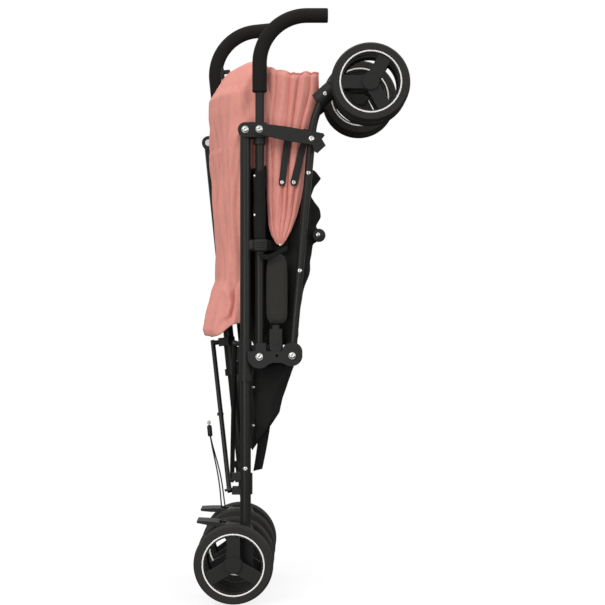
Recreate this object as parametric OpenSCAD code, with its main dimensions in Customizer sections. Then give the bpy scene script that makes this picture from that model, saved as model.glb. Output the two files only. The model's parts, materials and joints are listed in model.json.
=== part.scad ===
// Umbrella stroller, folded and standing on its rear wheels.
// +X points to the front of the stroller, +Y to its left side and +Z up.
// The origin is on the floor, under the rear axle of the right side, midway between the two sides.

/* [Wheels] */
// Outside diameter of every wheel
wheel_d = 145; // [120:1:160]
// Width of one tyre
tyre_w = 24; // [20:1:26]
// Height of the tyre over its rim
tyre_h = 14.5; // [10:0.5:18]
// Radius of the tread's crown across the tyre
tread_crown_r = 20; // [18:1:40]
// Diameter of the wheel axles
axle_d = 8; // [6:0.5:10]
// Diameter of a wheel's hub
hub_d = 30; // [24:1:36]
// Width of one wheel spoke
spoke_w = 24; // [18:1:26]
// Spokes in one wheel
spokes = 3; // [3:1:4]
// Rear wheel's middle from the leg's middle
rear_track = 44; // [42:1:50]
// Front wheel's middle from the caster's middle
front_track = 29; // [28:1:31]

/* [Frame] */
// From the middle of the stroller to the middle of one folded side
side_y = 96; // [92:1:104]
// How far the left side leans back from the right one, in degrees
side_lean = 5.8; // [0:0.1:6]
// Wall of the frame tubes
tube_wall = 1.5; // [1:0.1:2]
// Diameter of the rear leg tube
leg_d = 20; // [18:0.5:21]
// Rear leg's axis ahead of the rear axle
leg_x = 20; // [18:0.5:24]
// Diameter of the side tube and the handle tube
side_d = 16; // [14:0.5:17]
// Side tube's axis ahead of the rear axle
side_x = 46; // [44:0.5:50]
// Height of the pivot between rear leg and side tube
fold_z = 863; // [820:1:900]
// Height of the side tube's lower pivot
knuckle_z = 447; // [435:1:455]
// Diameter of the front leg tube
front_d = 15; // [13:0.5:16]
// Front leg's pivot ahead of the side tube's pivot
knuckle_reach = 60; // [56:1:66]
// Lean of the front leg's straight part, in degrees
front_lean = 5.1; // [4:0.1:6]
// Length of the front leg's straight part
front_straight = 410; // [400:1:420]
// Radius of the bend near the front leg's foot
front_bend_r = 150; // [130:1:170]
// Angle of that bend, in degrees
front_bend = 22; // [18:1:26]
// How far the left front leg stands out, as no catch holds it, in degrees
left_front_open = 8.9; // [0:0.1:9]
// Shank diameter of the frame rivets
rivet_d = 6; // [5:0.5:7]
// Head diameter of the frame rivets
rivet_head_d = 13; // [11:0.5:14]
// Head height of the frame rivets
rivet_head_h = 2.5; // [1.5:0.5:3]

/* [Handle] */
// Diameter of the foam grip
grip_d = 27; // [24:0.5:30]
// Bare handle tube between the top bracket and the grip
handle_riser = 56.5; // [48:0.5:70]
// Straight part of the grip under the bend
grip_straight = 54; // [45:1:65]
// Radius of the handle's bend
handle_bend_r = 88; // [80:1:95]
// Straight part of the grip past the bend
handle_reach = 38; // [30:1:45]
// Length of the handle's spigot inside the side tube
spigot_h = 80; // [50:1:120]
// Foam that closes the end of the grip
grip_end = 4; // [2:0.5:6]

/* [Folding parts] */
// Thickness of the moulded cheeks
cheek_t = 4; // [3:0.5:5]
// Height of the top bracket
bracket_h = 27; // [25:1:30]
// Diameter of the knuckle's rounded ends
knuckle_d = 38; // [34:1:42]
// Thickness of the transport catch
catch_t = 5; // [4.5:0.5:6]
// Height of the transport catch
catch_h = 24; // [20:1:26]
// Length of the transport catch past its stud
catch_nose = 22; // [19:1:26]
// Length of the catch's tail under its stud
catch_tail = 26; // [20:1:30]
// Diameter of the catch stud
stud_d = 6; // [5:0.5:7]
// Stud's distance below the bend of the front leg
stud_back = 12; // [8:0.5:18]

/* [Brace] */
// Diameter of the brace bars
brace_d = 9; // [7:0.5:10]
// Height of the brace bars' lower pivots
brace_low_z = 199; // [194:1:204]
// Height of the brace bars' upper ends
brace_top_z = 470; // [466:1:474]
// Brace pivots inward from the leg's axis
brace_in = 20; // [19:0.5:24]
// Right brace bar's axis behind the leg's axis
brace_back = 31; // [28:0.5:34]
// Gap between the brace bars where they cross in the open stroller
brace_gap = 1.2; // [0.8:0.1:3]
// Lean of the brace bars when the stroller is open, in degrees
brace_open = 63; // [58:1:66]
// Height of the sliding sleeve on the rear leg
sleeve_h = 76; // [60:1:80]
// Wall of the sliding sleeve
sleeve_wall = 1.6; // [1.2:0.1:2.2]

/* [Casters and brakes] */
// Lean of the caster's swivel axis, in degrees from upright
caster_lean = 48; // [44:1:52]
// Diameter of the caster housing
caster_d = 32; // [30:1:33]
// Caster axle's distance from the housing along the swivel axis
caster_drop = 74; // [72:1:84]
// Caster axle's trail behind the swivel axis
caster_trail = 41; // [34:1:46]
// Diameter of the caster stem
stem_d = 10; // [8:0.5:12]
// Length of the brake pedal
pedal_l = 40; // [32:1:46]
// Width of the brake pedal
pedal_w = 44; // [40:1:50]
// Thickness of the brake pedal
pedal_t = 7; // [5:0.5:9]
// Diameter of the brake cable
cable_d = 2.6; // [2:0.1:3.2]

/* [Soft parts] */
// Thickness of a folded hood wing
wing_t = 23; // [16:1:26]
// Hood's edge inward from the side's middle plane
hood_in = 20; // [20:1:24]
// Depth of the hood's folds
hood_fold = 4; // [0:0.5:6]
// Width of the bumper pad
pad_w = 44; // [36:1:45]
// Thickness of the bumper pad
pad_t = 26; // [20:1:30]
// Height of the bumper pad
pad_h = 133; // [110:1:136]

/* [Hidden] */
$fn = 96;
play = 0.05;
slack = 0.4;
axle_z = wheel_d / 2;
rim_r = wheel_d / 2 - tyre_h;
rim_w = tyre_w - 2;
leg_r = leg_d / 2;
side_r = side_d / 2;
front_r = front_d / 2;
rivet_r = rivet_d / 2;
sleeve_r = leg_r + sleeve_wall;
inner_gap = sleeve_r + 0.5;
cheek_out = inner_gap + cheek_t;
front_x = side_x + knuckle_reach;
front_z = knuckle_z + 2;
front_end = 6;
caster_offset = 12;
bend_start = [front_x + front_straight * sin(front_lean), front_z + front_straight * cos(front_lean)];
bend_centre = bend_start + front_bend_r * [cos(front_lean), -sin(front_lean)];
leg_end_lean = front_lean + front_bend;
bend_end = bend_centre + front_bend_r * [-cos(leg_end_lean), sin(leg_end_lean)];
caster_at = bend_end + (front_end + caster_offset) * [sin(leg_end_lean), cos(leg_end_lean)];
stud_reach = front_straight - stud_back;
stud_at = [front_x + stud_reach * sin(front_lean), front_z + stud_reach * cos(front_lean)];
catch_slope = atan2(stud_at[1] - fold_z, stud_at[0] - side_x);
catch_skin = 1.6;
bracket_top = fold_z + bracket_h / 2;
grip_z = bracket_top + handle_riser;
handle_z = grip_z + grip_straight + handle_bend_r;
caster_axle = caster_at + caster_drop * [sin(caster_lean), cos(caster_lean)]
    + caster_trail * [cos(caster_lean), -sin(caster_lean)];
rear_at = [0, axle_z];
pedal_pin = [-14, axle_z + 60];
housing_half = 14;
foot_z = axle_z - 14;
hub_half = 13;
brace_pin_d = 5;
lug_gap = 1.6;
rear_bar_x = leg_x - brace_back;
front_bar_x = rear_bar_x + brace_d + brace_gap;
right_bar_low = [rear_bar_x, brace_in, brace_low_z];
left_bar_low = [front_bar_x, brace_in, brace_low_z];
right_bar_top = right_in(left_out([rear_bar_x, brace_in, brace_top_z]));
left_bar_top = left_in(right_out([front_bar_x, brace_in, brace_top_z]));
cable_foot = [pedal_pin[0] - 6, 0, axle_z + 55];
ferrule_low = [-pedal_l - 11.5, 0, brace_low_z + 90];
ferrule_top = ferrule_low + [-2, 0, 20];
cable_meet = ferrule_low + [0, 0, 4];
clip_low = knuckle_z + 4;
clip_h = 54;
clip_half = inner_gap - 0.3;
clip_x = (side_x + front_x) / 2;
button_d = 10;
button_z = clip_low + 22;
pad_low = clip_low + clip_h;
soft_gap = 0.3;
lean_half = side_y - 2 * brace_in;
hood_half_w = side_y - hood_in;
seat_half_w = side_y - 32;
seat_low_half_w = side_y - pad_t / 2 - 1;
basket_half_w = side_y - cheek_out - soft_gap;

// A point of the cloth after its share of the left side's lean: none at the right side, all at the left one.
function lean_at(y) = side_lean * min(1, max(0, (y + lean_half) / (2 * lean_half)));
function leant(p) = let (a = lean_at(p[1]), h = p[2] - axle_z)
    [p[0] * cos(a) - h * sin(a), p[1], axle_z + p[0] * sin(a) + h * cos(a)];

// Each side is drawn with its own middle plane at y = 0 and its outer face towards -Y.
module right() {
    translate([0, -side_y, 0]) children();
}

module left() {
    translate([0, side_y, axle_z]) rotate([0, -side_lean, 0]) translate([0, 0, -axle_z])
        mirror([0, 1, 0]) children();
}

// Left front leg and its caster: turned out about the leg's pivot.
module left_front() {
    left() translate([front_x, 0, front_z]) rotate([0, left_front_open, 0])
        translate([-front_x, 0, -front_z]) children();
}

// From the left side's own frame to the stroller's, and back.
function left_out(p) = let (h = p[2] - axle_z) [
    p[0] * cos(side_lean) - h * sin(side_lean), side_y - p[1],
    axle_z + p[0] * sin(side_lean) + h * cos(side_lean)];
function left_in(p) = let (h = p[2] - axle_z) [
    p[0] * cos(side_lean) + h * sin(side_lean), side_y - p[1],
    axle_z - p[0] * sin(side_lean) + h * cos(side_lean)];
function right_out(p) = p - [0, side_y, 0];
function right_in(p) = p + [0, side_y, 0];

// Axis that turns a brace bar from its folded run to its open one, in its own side's frame.
function brace_axis(low, top) = let (n = cross(top - low, [0, sin(brace_open), cos(brace_open)])) n / norm(n);

// Heights as shares of the side tube's length over its lower pivot, and places ahead of it as shares of the knuckle.
function up(share) = knuckle_z + share * (fold_z - knuckle_z);
function ahead(share) = side_x + share * knuckle_reach;

// Round rod between two points.
module rod(a, b, d) {
    v = b - a;
    translate(a) rotate([0, acos(v[2] / norm(v)), atan2(v[1], v[0])]) cylinder(d = d, h = norm(v));
}

// Cylinder across the stroller, from y0 to y1, at a point of the side plane.
module across(at, d, y0, y1) {
    translate([at[0], y0, at[1]]) rotate([-90, 0, 0]) cylinder(d = d, h = y1 - y0);
}

// Flat plate with its outline in the side plane, from y0 to y1.
module plate(y0, y1) {
    translate([0, y1, 0]) rotate([90, 0, 0]) linear_extrude(y1 - y0) children();
}

// Turns children so that their +Z runs along the swivel axis, from the caster housing to the wheel.
module on_caster() {
    translate([caster_at[0], 0, caster_at[1]]) rotate([0, caster_lean, 0]) children();
}

// Closed skin over rings of points; every ring runs the same way round and the rings go up.
module skin(rings) {
    n = len(rings[0]);
    m = len(rings);
    points = [for (r = rings) each r, mean(rings[0]), mean(rings[m - 1])];
    walls = [for (i = [0:m - 2], j = [0:n - 1]) each
        let (a = i * n + j, b = i * n + (j + 1) % n) [[a, a + n, b + n], [a, b + n, b]]];
    floor_fan = [for (j = [0:n - 1]) [m * n, j, (j + 1) % n]];
    roof_fan = [for (j = [0:n - 1]) [m * n + 1, (m - 1) * n + (j + 1) % n, (m - 1) * n + j]];
    polyhedron(points = points, faces = concat(walls, floor_fan, roof_fan));
}

function mean(ring) = [for (k = [0:2]) [for (p = ring) p[k]] * [for (p = ring) 1] / len(ring)];
function signed_root(v) = sign(v) * pow(abs(v), 0.45);

// Rounded box section at height z, from x0 to x1 and from y0 to y1, with folds of a given depth and count.
function section(z, x0, x1, y0, y1, fold, folds, n) = [for (j = [0:n - 1])
    let (t = 360 * j / n, c = signed_root(cos(t)), s = signed_root(sin(t)), wave = cos(180 * folds * s + z / 3))
    [(x0 + x1) / 2 + c * (x1 - x0) / 2 + fold * wave * min(0, c), (y0 + y1) / 2 + s * (y1 - y0) / 2, z]];

// Rear leg: tube with a domed top end that turns on the fold rivet.
module rear_leg() {
    color("#2b2c2e") difference() {
        union() {
            translate([leg_x, 0, foot_z]) cylinder(d = leg_d, h = fold_z - foot_z);
            translate([leg_x, 0, fold_z]) sphere(d = leg_d);
        }
        translate([leg_x, 0, foot_z - 1]) cylinder(r = leg_r - tube_wall, h = fold_z - foot_z - leg_d);
        across([leg_x, fold_z], rivet_d + 2 * play, -leg_d, leg_d);
    }
}

// Lug on the rear leg: ring, two rear arms and the pin of the brace bar.
module leg_lug(pin_at, bar_top) {
    pin = (brace_d + brace_pin_d) / 2 * brace_axis(pin_at, bar_top) * 1.2;
    face = pin_at[0] + brace_d / 2 + lug_gap;
    arm_h = 12;
    arm_y = brace_in + 6;
    low = brace_low_z - arm_h / 2;
    step = 27;
    color("#1c1c1d") difference() {
        union() {
            difference() {
                translate([leg_x, 0, low]) cylinder(r = leg_r + 3, h = step + arm_h);
                translate([leg_x - leg_d, -2 * leg_d, low - 1]) cube([2 * leg_d, 2 * leg_d, 2 * step]);
            }
            for (z = [low, low + step])
                translate([face, -6, z]) cube([leg_x - face, arm_y + 6, arm_h]);
            rod(pin_at - pin, pin_at + pin, brace_pin_d);
        }
        translate([leg_x, 0, low - 1]) cylinder(r = leg_r + play, h = 2 * step);
        translate([face - 1, brace_in / 2, low + step - 1]) cube([9, arm_y, arm_h + 2]);
    }
}

// Sleeve that slides on the rear leg and carries the upper end of the other side's brace bar.
module leg_sleeve(bar_x) {
    low = brace_top_z + 8 - sleeve_h;
    arm_x = bar_x + brace_d / 2 + lug_gap + 5;
    color("#202123") difference() {
        union() {
            translate([leg_x, 0, low]) cylinder(r = sleeve_r, h = sleeve_h);
            translate([leg_x, 0, low]) cylinder(r = leg_r + 4.5, h = 13);
            translate([arm_x, -4, brace_top_z - 8]) cube([leg_x - arm_x, brace_in + 10, 16]);
        }
        translate([leg_x, 0, low - 1]) cylinder(r = leg_r + 2 * play, h = sleeve_h + 2);
    }
}

// Foot of the rear leg: socket for the tube, bearing for the axle, pivot for the pedal and hole for the cable.
module brake_housing(cable_to) {
    color("#191919") difference() {
        union() {
            plate(-housing_half, housing_half) polygon([
                [leg_x + leg_r + 4, foot_z - 8], [leg_x + leg_r + 4, axle_z + 54],
                [leg_x + leg_r, axle_z + 64], [leg_x - leg_r - 4, axle_z + 66],
                [pedal_pin[0], pedal_pin[1] + 8], [pedal_pin[0] - 9, pedal_pin[1] + 4],
                [pedal_pin[0] - 12, pedal_pin[1] - 1], [pedal_pin[0] - 7, pedal_pin[1] - 11],
                [-10, axle_z + 30], [-10, axle_z], [leg_x - leg_r - 4, foot_z - 8]]);
            across([0, axle_z], axle_d + 16, -rear_track + tyre_w / 2 + 2, rear_track - tyre_w / 2 - 2);
            across([0, axle_z], axle_d + 26, -housing_half, housing_half);
        }
        translate([leg_x, 0, foot_z]) cylinder(r = leg_r + play, h = brace_low_z);
        across([0, axle_z], axle_d + 2 * play, -rear_track, rear_track);
        across(pedal_pin, rivet_d + 2 * play, -side_y, side_y);
        rod(cable_foot, cable_to, cable_d + 0.7);
    }
}

// Brake pedal: foot plate on two ears with its own pin.
module brake_pedal() {
    half = pedal_w / 2;
    front = pedal_pin[0] - 14;
    root_z = pedal_pin[1] + 5;
    ear_t = half - housing_half - slack;
    color("#141414") union() {
        plate(-half, half) polygon([
            [front, root_z], [front, root_z + pedal_t], [front - pedal_l / 2, root_z + pedal_t + 2],
            [front - pedal_l, root_z + 10], [front - pedal_l, root_z + 6], [front - pedal_l / 2, root_z + 2]]);
        for (y0 = [-half, half - ear_t])
            plate(y0, y0 + ear_t) polygon([
                [pedal_pin[0] + 7, pedal_pin[1] - 5], [pedal_pin[0] + 7, pedal_pin[1] + 7],
                [front - 6, root_z + pedal_t], [front - 6, root_z]]);
        across(pedal_pin, rivet_d, -half + 1, half - 1);
    }
}

// Two tyres of a wheel pair, at +-track from the pair's middle plane.
module tyres(at, track) {
    color("#1a1a1a") for (y = [-track, track])
        translate([at[0], y, at[1]]) rotate([90, 0, 0]) difference() {
            intersection() {
                rotate_extrude() translate([wheel_d / 2 - tread_crown_r, 0]) circle(r = tread_crown_r);
                cylinder(d = wheel_d + 2, h = tyre_w, center = true);
            }
            cylinder(r = rim_r, h = tyre_w + 2, center = true);
        }
}

// Window between two spokes: wide at the rim, with a round corner towards the hub.
module wheel_window() {
    round_r = 14;
    half = 180 / spokes;
    reach = (spoke_w / 2 + round_r) / sin(half);
    far = 2 * rim_r;
    tangent = reach * cos(half);
    edge = function(a, l, s) [l * cos(a) - s * spoke_w / 2 * sin(a), l * sin(a) + s * spoke_w / 2 * cos(a)];
    intersection() {
        union() {
            linear_extrude(tyre_w * 2, center = true) polygon([
                edge(-half, tangent, 1), edge(-half, far, 1), edge(half, far, -1), edge(half, tangent, -1)]);
            translate([reach, 0, 0]) cylinder(r = round_r, h = tyre_w * 2, center = true);
        }
        cylinder(r = rim_r - 7, h = tyre_w * 3, center = true);
    }
}

// Two spoked rims of a wheel pair, with hubs that run on the axle; turn is the first spoke's angle.
module rims(at, track, hub_in, turn) {
    color("#242424") for (side = [-1, 1])
        translate([at[0], side * track, at[1]]) rotate([90 * side, 0, 0]) difference() {
            union() {
                difference() {
                    cylinder(r = rim_r - slack / 4, h = rim_w, center = true);
                    cylinder(r = rim_r - 4, h = rim_w + 2, center = true);
                }
                difference() {
                    translate([0, 0, -4]) cylinder(r = rim_r - 2, h = 8, center = true);
                    for (i = [0:spokes - 1]) rotate(side * (turn + (i + 0.5) * 360 / spokes)) wheel_window();
                }
                translate([0, 0, -hub_half]) cylinder(d = hub_d, h = hub_half + hub_in);
            }
            translate([0, 0, -hub_half + 3]) cylinder(d = axle_d + play, h = 2 * rear_track);
        }
}

// Axle of a wheel pair; its ends sit in the hubs.
module axle(at, track) {
    color("#9a9b9d") across(at, axle_d, -track - hub_half + 4, track + hub_half - 4);
}

// Brace bar: from the lug of its own side to the sleeve of the other side.
module brace_bar(low, top) {
    turn = brace_axis(low, top);
    eye = (brace_d - 2) / 2 * turn;
    eye_d = brace_d + 3;
    color("#303133") difference() {
        union() {
            rod(low, top, brace_d);
            rod(low - eye, low + eye, eye_d);
            rod(top - eye, top + eye, eye_d);
        }
        rod(low - 3 * eye, low + 3 * eye, brace_pin_d + 2 * play);
    }
}

// Right brace bar: carries the bolt that the left bar turns against where the open bars cross.
module crossed_brace_bar() {
    middle = (right_bar_low + right_bar_top) / 2;
    bolt_l = brace_d + rivet_head_h + brace_gap / 2;
    color("#303133") union() {
        brace_bar(right_bar_low, right_bar_top);
        translate(middle - [brace_d / 2 + rivet_head_h, 0, 0]) rotate([0, 90, 0]) cylinder(d = rivet_d, h = bolt_l);
    }
}

// Side tube: lower end on the knuckle, upper end in the bracket, bored for the handle's spigot.
module side_tube() {
    color("#2b2c2e") difference() {
        union() {
            translate([side_x, 0, knuckle_z]) cylinder(d = side_d, h = bracket_top - knuckle_z);
            translate([side_x, 0, knuckle_z]) sphere(d = side_d);
        }
        translate([side_x, 0, knuckle_z + side_d]) cylinder(r = side_r - tube_wall, h = fold_z);
        across([side_x, knuckle_z], rivet_d + 2 * play, -side_d, side_d);
    }
}

// Top bracket: two cheeks round the rear leg's end, a clamp round the side tube and its lower collar.
module top_bracket() {
    color("#161616") difference() {
        union() {
            for (y0 = [-cheek_out, inner_gap])
                plate(y0, y0 + cheek_t) union() {
                    translate([leg_x, fold_z]) circle(d = bracket_h);
                    translate([leg_x, fold_z - bracket_h / 2])
                        square([side_x + side_r + 4 - leg_x, bracket_h]);
                }
            translate([leg_x + leg_r + 2.5, -cheek_out, fold_z - bracket_h / 2])
                cube([side_x + side_r + 1.5 - leg_x - leg_r, 2 * cheek_out, bracket_h]);
            translate([side_x, 0, fold_z - bracket_h / 2 - 12]) cylinder(r = side_r + 3.5, h = 14);
        }
        translate([side_x, 0, fold_z - 60]) cylinder(r = side_r + play / 2, h = 120);
        across([leg_x, fold_z], rivet_d + play, -side_y, side_y);
        across([side_x, fold_z], rivet_d + play, -side_y, -side_r - 1);
    }
}

// Fold rivet through bracket and leg, and the short rivet that holds the bracket or the catch.
module bracket_rivets(under_head) {
    head_y = cheek_out + under_head;
    color("#c9cacc") {
        across([leg_x, fold_z], rivet_d, -cheek_out, cheek_out);
        across([leg_x, fold_z], rivet_head_d, -cheek_out - rivet_head_h, -cheek_out);
        across([leg_x, fold_z], rivet_head_d, cheek_out, cheek_out + rivet_head_h);
    }
    color("#c9cacc") {
        across([side_x, fold_z], rivet_d, -head_y, -side_r - 2);
        across([side_x, fold_z], rivet_head_d, -head_y - rivet_head_h, -head_y);
    }
}

// Transport catch: springy arm from the bracket, with a groove on its inner face that the stud snaps into.
module transport_catch() {
    half = catch_h / 2;
    groove = stud_d + 1;
    nose = stud_at + [catch_nose, 0];
    root = [side_x, fold_z];
    middle = (root + stud_at) / 2;
    color("#181818") difference() {
        union() {
            across(root, catch_h - 3, -cheek_out - catch_t, -cheek_out);
            plate(-cheek_out - catch_t, -cheek_out) polygon([
                root + [-4, half - 5], root + [8, half - 2], middle + [0, half + 2], stud_at + [2, half + 2],
                nose + [0, half - 2], nose + [2, half / 2], nose + [-3, 0], nose + [4, -half],
                stud_at + [catch_nose / 2, -catch_tail], stud_at + [catch_nose / 4, 3 - catch_tail],
                stud_at + [2, 1 - half], stud_at + [-9, 3 - half], middle + [0, -half], root + [8, 1 - half],
                root + [-4, 5 - half]]);
        }
        translate([stud_at[0], -cheek_out - catch_t + catch_skin, stud_at[1]]) rotate([0, -catch_slope, 0]) {
            rotate([-90, 0, 0]) cylinder(d = groove, h = catch_t);
            translate([0, 0, -groove / 2]) cube([2 * catch_nose, catch_t, groove]);
        }
        across(root, rivet_d + play, -side_y, side_y);
    }
}

// Stud on the right front leg that the catch holds.
module catch_stud() {
    color("#c9cacc") difference() {
        across(stud_at, stud_d, slack - cheek_out - catch_t + catch_skin, 0);
        front_axis() cylinder(d = front_d + play, h = 2 * front_straight, center = true);
    }
}

// Turns children so that +Z runs up the front leg's straight part, from its pivot.
module front_axis() {
    translate([front_x, 0, front_z]) rotate([0, front_lean, 0]) children();
}

// Handle tube: spigot in the side tube, straight riser and the bend inside the grip.
module handle_tube() {
    riser_top = handle_z - handle_bend_r;
    color("#2b2c2e") {
        translate([side_x, 0, bracket_top - spigot_h])
            cylinder(r = side_r - tube_wall - play, h = spigot_h + 10);
        translate([side_x, 0, bracket_top + slack / 2])
            cylinder(d = side_d, h = riser_top - bracket_top - slack / 2);
        handle_bend() circle(d = side_d);
        translate([side_x + handle_bend_r, 0, handle_z]) rotate([0, 90, 0])
            cylinder(d = side_d, h = handle_reach - grip_end);
    }
}

// Quarter turn from the riser to the level end, of any round section.
module handle_bend() {
    translate([side_x + handle_bend_r, 0, handle_z - handle_bend_r]) rotate([90, 0, 0]) rotate(90)
        rotate_extrude(angle = 90) translate([handle_bend_r, 0]) children();
}

// Foam grip over the whole bend, closed at its end.
module grip() {
    riser_top = handle_z - handle_bend_r;
    color("#202020") difference() {
        union() {
            translate([side_x, 0, grip_z]) cylinder(d = grip_d, h = riser_top - grip_z);
            handle_bend() circle(d = grip_d);
            translate([side_x + handle_bend_r, 0, handle_z]) rotate([0, 90, 0])
                cylinder(d = grip_d, h = handle_reach);
        }
        translate([side_x, 0, grip_z - 1]) cylinder(d = side_d + 2 * play, h = riser_top - grip_z + 1);
        handle_bend() circle(d = side_d + 2 * play);
        translate([side_x + handle_bend_r, 0, handle_z]) rotate([0, 90, 0])
            cylinder(d = side_d + 2 * play, h = handle_reach - grip_end);
    }
}

// Knuckle: two bean-shaped cheeks joined by a web, between the side tube and the front leg.
module knuckle() {
    top_z = knuckle_z + 10;
    lobe_d = knuckle_d + 5;
    layer = cheek_t / 2;
    web_x = side_x + side_r + 12;
    web_low = knuckle_z - knuckle_d / 2 + 8;
    color("#171717") difference() {
        union() {
            for (y0 = [-cheek_out, inner_gap + layer])
                plate(y0, y0 + layer) knuckle_outline(lobe_d, top_z);
            for (y0 = [-cheek_out + layer, inner_gap])
                plate(y0, y0 + layer) union() {
                    knuckle_outline(lobe_d, top_z);
                    translate([side_x - side_r + 1, knuckle_z]) square([side_d + 3, 25]);
                    translate([front_x, front_z + 5]) circle(d = knuckle_d);
                }
            translate([web_x, -cheek_out, web_low])
                cube([front_x - front_r - 10 - web_x, 2 * cheek_out, clip_low - web_low]);
        }
        across([side_x, knuckle_z], rivet_d + play, -side_y, side_y);
        across([front_x, front_z], rivet_d + play, -side_y, side_y);
    }
}

// Bean-shaped outline of a knuckle: two lobes, a flat top and an arch between the lobes.
module knuckle_outline(lobe_d, top_z) {
    low = front_z - knuckle_d / 2;
    arch_r = knuckle_reach / 2;
    difference() {
        union() {
            translate([side_x, knuckle_z]) circle(d = lobe_d);
            translate([side_x - lobe_d / 2, knuckle_z]) square([lobe_d, lobe_d / 2]);
            translate([front_x, front_z]) circle(d = knuckle_d);
            translate([side_x, low]) square([knuckle_reach, knuckle_d]);
        }
        translate([clip_x + 2, low + 7 - arch_r]) circle(r = arch_r);
        translate([side_x - lobe_d, top_z]) square([2 * lobe_d + knuckle_reach, lobe_d]);
    }
}

// The two rivets that the side tube and the front leg turn on.
module knuckle_pins() {
    color("#c9cacc") for (at = [[side_x, knuckle_z], [front_x, front_z]]) {
        across(at, rivet_d, -cheek_out, cheek_out);
        for (y0 = [-cheek_out - rivet_head_h, cheek_out])
            across(at, rivet_head_d, y0, y0 + rivet_head_h);
    }
}

// End piece of the bumper bar, seated on the knuckle's web, with the bore of its push button.
module bumper_clip() {
    wide = button_d / 2 + 6.5;
    neck = button_d / 2 + 1;
    color("#1d1d1d") difference() {
        plate(-clip_half, clip_half) polygon([
            [clip_x - neck, clip_low], [clip_x + neck, clip_low], [clip_x + wide, clip_low + 0.3 * clip_h],
            [clip_x + wide, clip_low + 0.87 * clip_h], [clip_x + neck, clip_low + 0.87 * clip_h],
            [clip_x + neck, pad_low], [clip_x - neck, pad_low], [clip_x - neck, clip_low + 0.87 * clip_h],
            [clip_x - wide, clip_low + 0.87 * clip_h], [clip_x - wide, clip_low + 0.3 * clip_h]]);
        across([clip_x, button_z], button_d + 2 * play, -side_y, -2);
    }
}

// Push button that frees the bumper bar; it travels inwards.
module bumper_button() {
    color("#2e2e2e") across([clip_x, button_z], button_d, -clip_half - 2.2, -4);
}

// Padded half of the bumper bar, standing up between side tube and front leg.
module bumper_pad() {
    steps = 10;
    rings = [for (i = [0:steps])
        let (u = i / steps, swell = 0.86 + 0.14 * pow(sin(180 * u), 0.4), x = clip_x + 2)
        section(pad_low + u * pad_h, x - swell * pad_w / 2, x + swell * pad_w / 2,
            -swell * pad_t / 2, swell * pad_t / 2, 0, 0, 24)];
    color("#222222") skin(rings);
}

// Turns children so that +Z runs along the front leg past its bend, from the bend's end.
module front_foot() {
    front_axis() translate([front_bend_r, 0, front_straight]) rotate([0, front_bend, 0])
        translate([-front_bend_r, 0, 0]) children();
}

// Front leg: straight tube from the knuckle, bent near its foot to enter the caster housing.
module front_leg() {
    color("#2b2c2e") difference() {
        union() {
            front_axis() cylinder(d = front_d, h = front_straight);
            front_axis() sphere(d = front_d);
            front_axis() translate([front_bend_r, 0, front_straight]) rotate([90, 0, 0])
                rotate(180 - front_bend) rotate_extrude(angle = front_bend)
                    translate([front_bend_r, 0]) circle(d = front_d);
            front_foot() cylinder(d = front_d, h = front_end);
            front_axis() translate([0, 0, front_straight - 8]) cylinder(r = front_r - tube_wall, h = 16);
        }
        front_axis() translate([0, 0, front_d]) cylinder(r = front_r - tube_wall, h = front_straight - 40);
        across([front_x, front_z], rivet_d + 2 * play, -side_d, side_d);
    }
}

// Caster housing at the front leg's foot, with the socket of the leg and the bearing of the stem.
module caster_housing() {
    color("#181818") difference() {
        on_caster() union() {
            translate([0, 0, -18]) cylinder(d = caster_d, h = 36);
            translate([0, 0, 14]) cylinder(d = caster_d - 6, h = 5);
        }
        front_foot() translate([0, 0, -60]) cylinder(d = front_d + 6 * play, h = 60 + front_end);
        front_foot() translate([0, 0, -100]) cylinder(d = 2 * caster_d, h = 90);
        on_caster() translate([0, 0, -3]) cylinder(d = stem_d + 2 * play, h = 40);
    }
}

// Caster fork: stem, round cap and one arm between the two wheels that carries the axle.
module caster_fork() {
    cap_z = 20;
    arm_half = front_track - tyre_w / 2 - 5;
    color("#1b1b1b") on_caster() difference() {
        union() {
            translate([0, 0, -2]) cylinder(d = stem_d, h = cap_z + 4);
            translate([0, 0, cap_z]) cylinder(d = caster_d, h = 10);
            plate(-arm_half, arm_half) polygon([
                [-caster_d / 2 + 2, cap_z + 6], [caster_d / 2 - 2, cap_z + 2],
                [caster_trail + 9, caster_drop - 10], [caster_trail - 5, caster_drop + 12],
                [-caster_d / 2 + 8, cap_z + 22]]);
            across([caster_trail, caster_drop], axle_d + 18, -arm_half - 3, arm_half + 3);
        }
        across([caster_trail, caster_drop], axle_d + 2 * play, -side_y, side_y);
    }
}

// Folded wing of the hood beside the side tube: a pleated cloth bag that tapers to its lower tip.
module hood_wing() {
    rear = [[0.49, 0.6], [0.5, 0.5], [0.54, 0.35], [0.58, 0.27], [0.7, 0.225], [0.92, 0.21], [1.04, 0.21]];
    front = [[0.49, 0.7], [0.52, 0.82], [0.56, 0.98], [0.63, 1.15], [0.7, 1.27], [0.77, 1.36], [0.92, 1.45],
        [1.04, 1.58]];
    low = 0.493;
    high = 1.039;
    steps = 16;
    y0 = leg_r + 1.5;
    rings = [for (i = [0:steps])
        let (u = i / steps, h = low + pow(u, 1.3) * (high - low), spread = pow(u, 0.7))
        section(up(h), ahead(lookup(h, rear)), ahead(lookup(h, front)), y0,
            y0 + wing_t * (0.4 + 0.6 * spread), hood_fold * 0.5 * sin(180 * u), 5, 28)];
    color("#d98b83") skin(rings);
}

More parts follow.
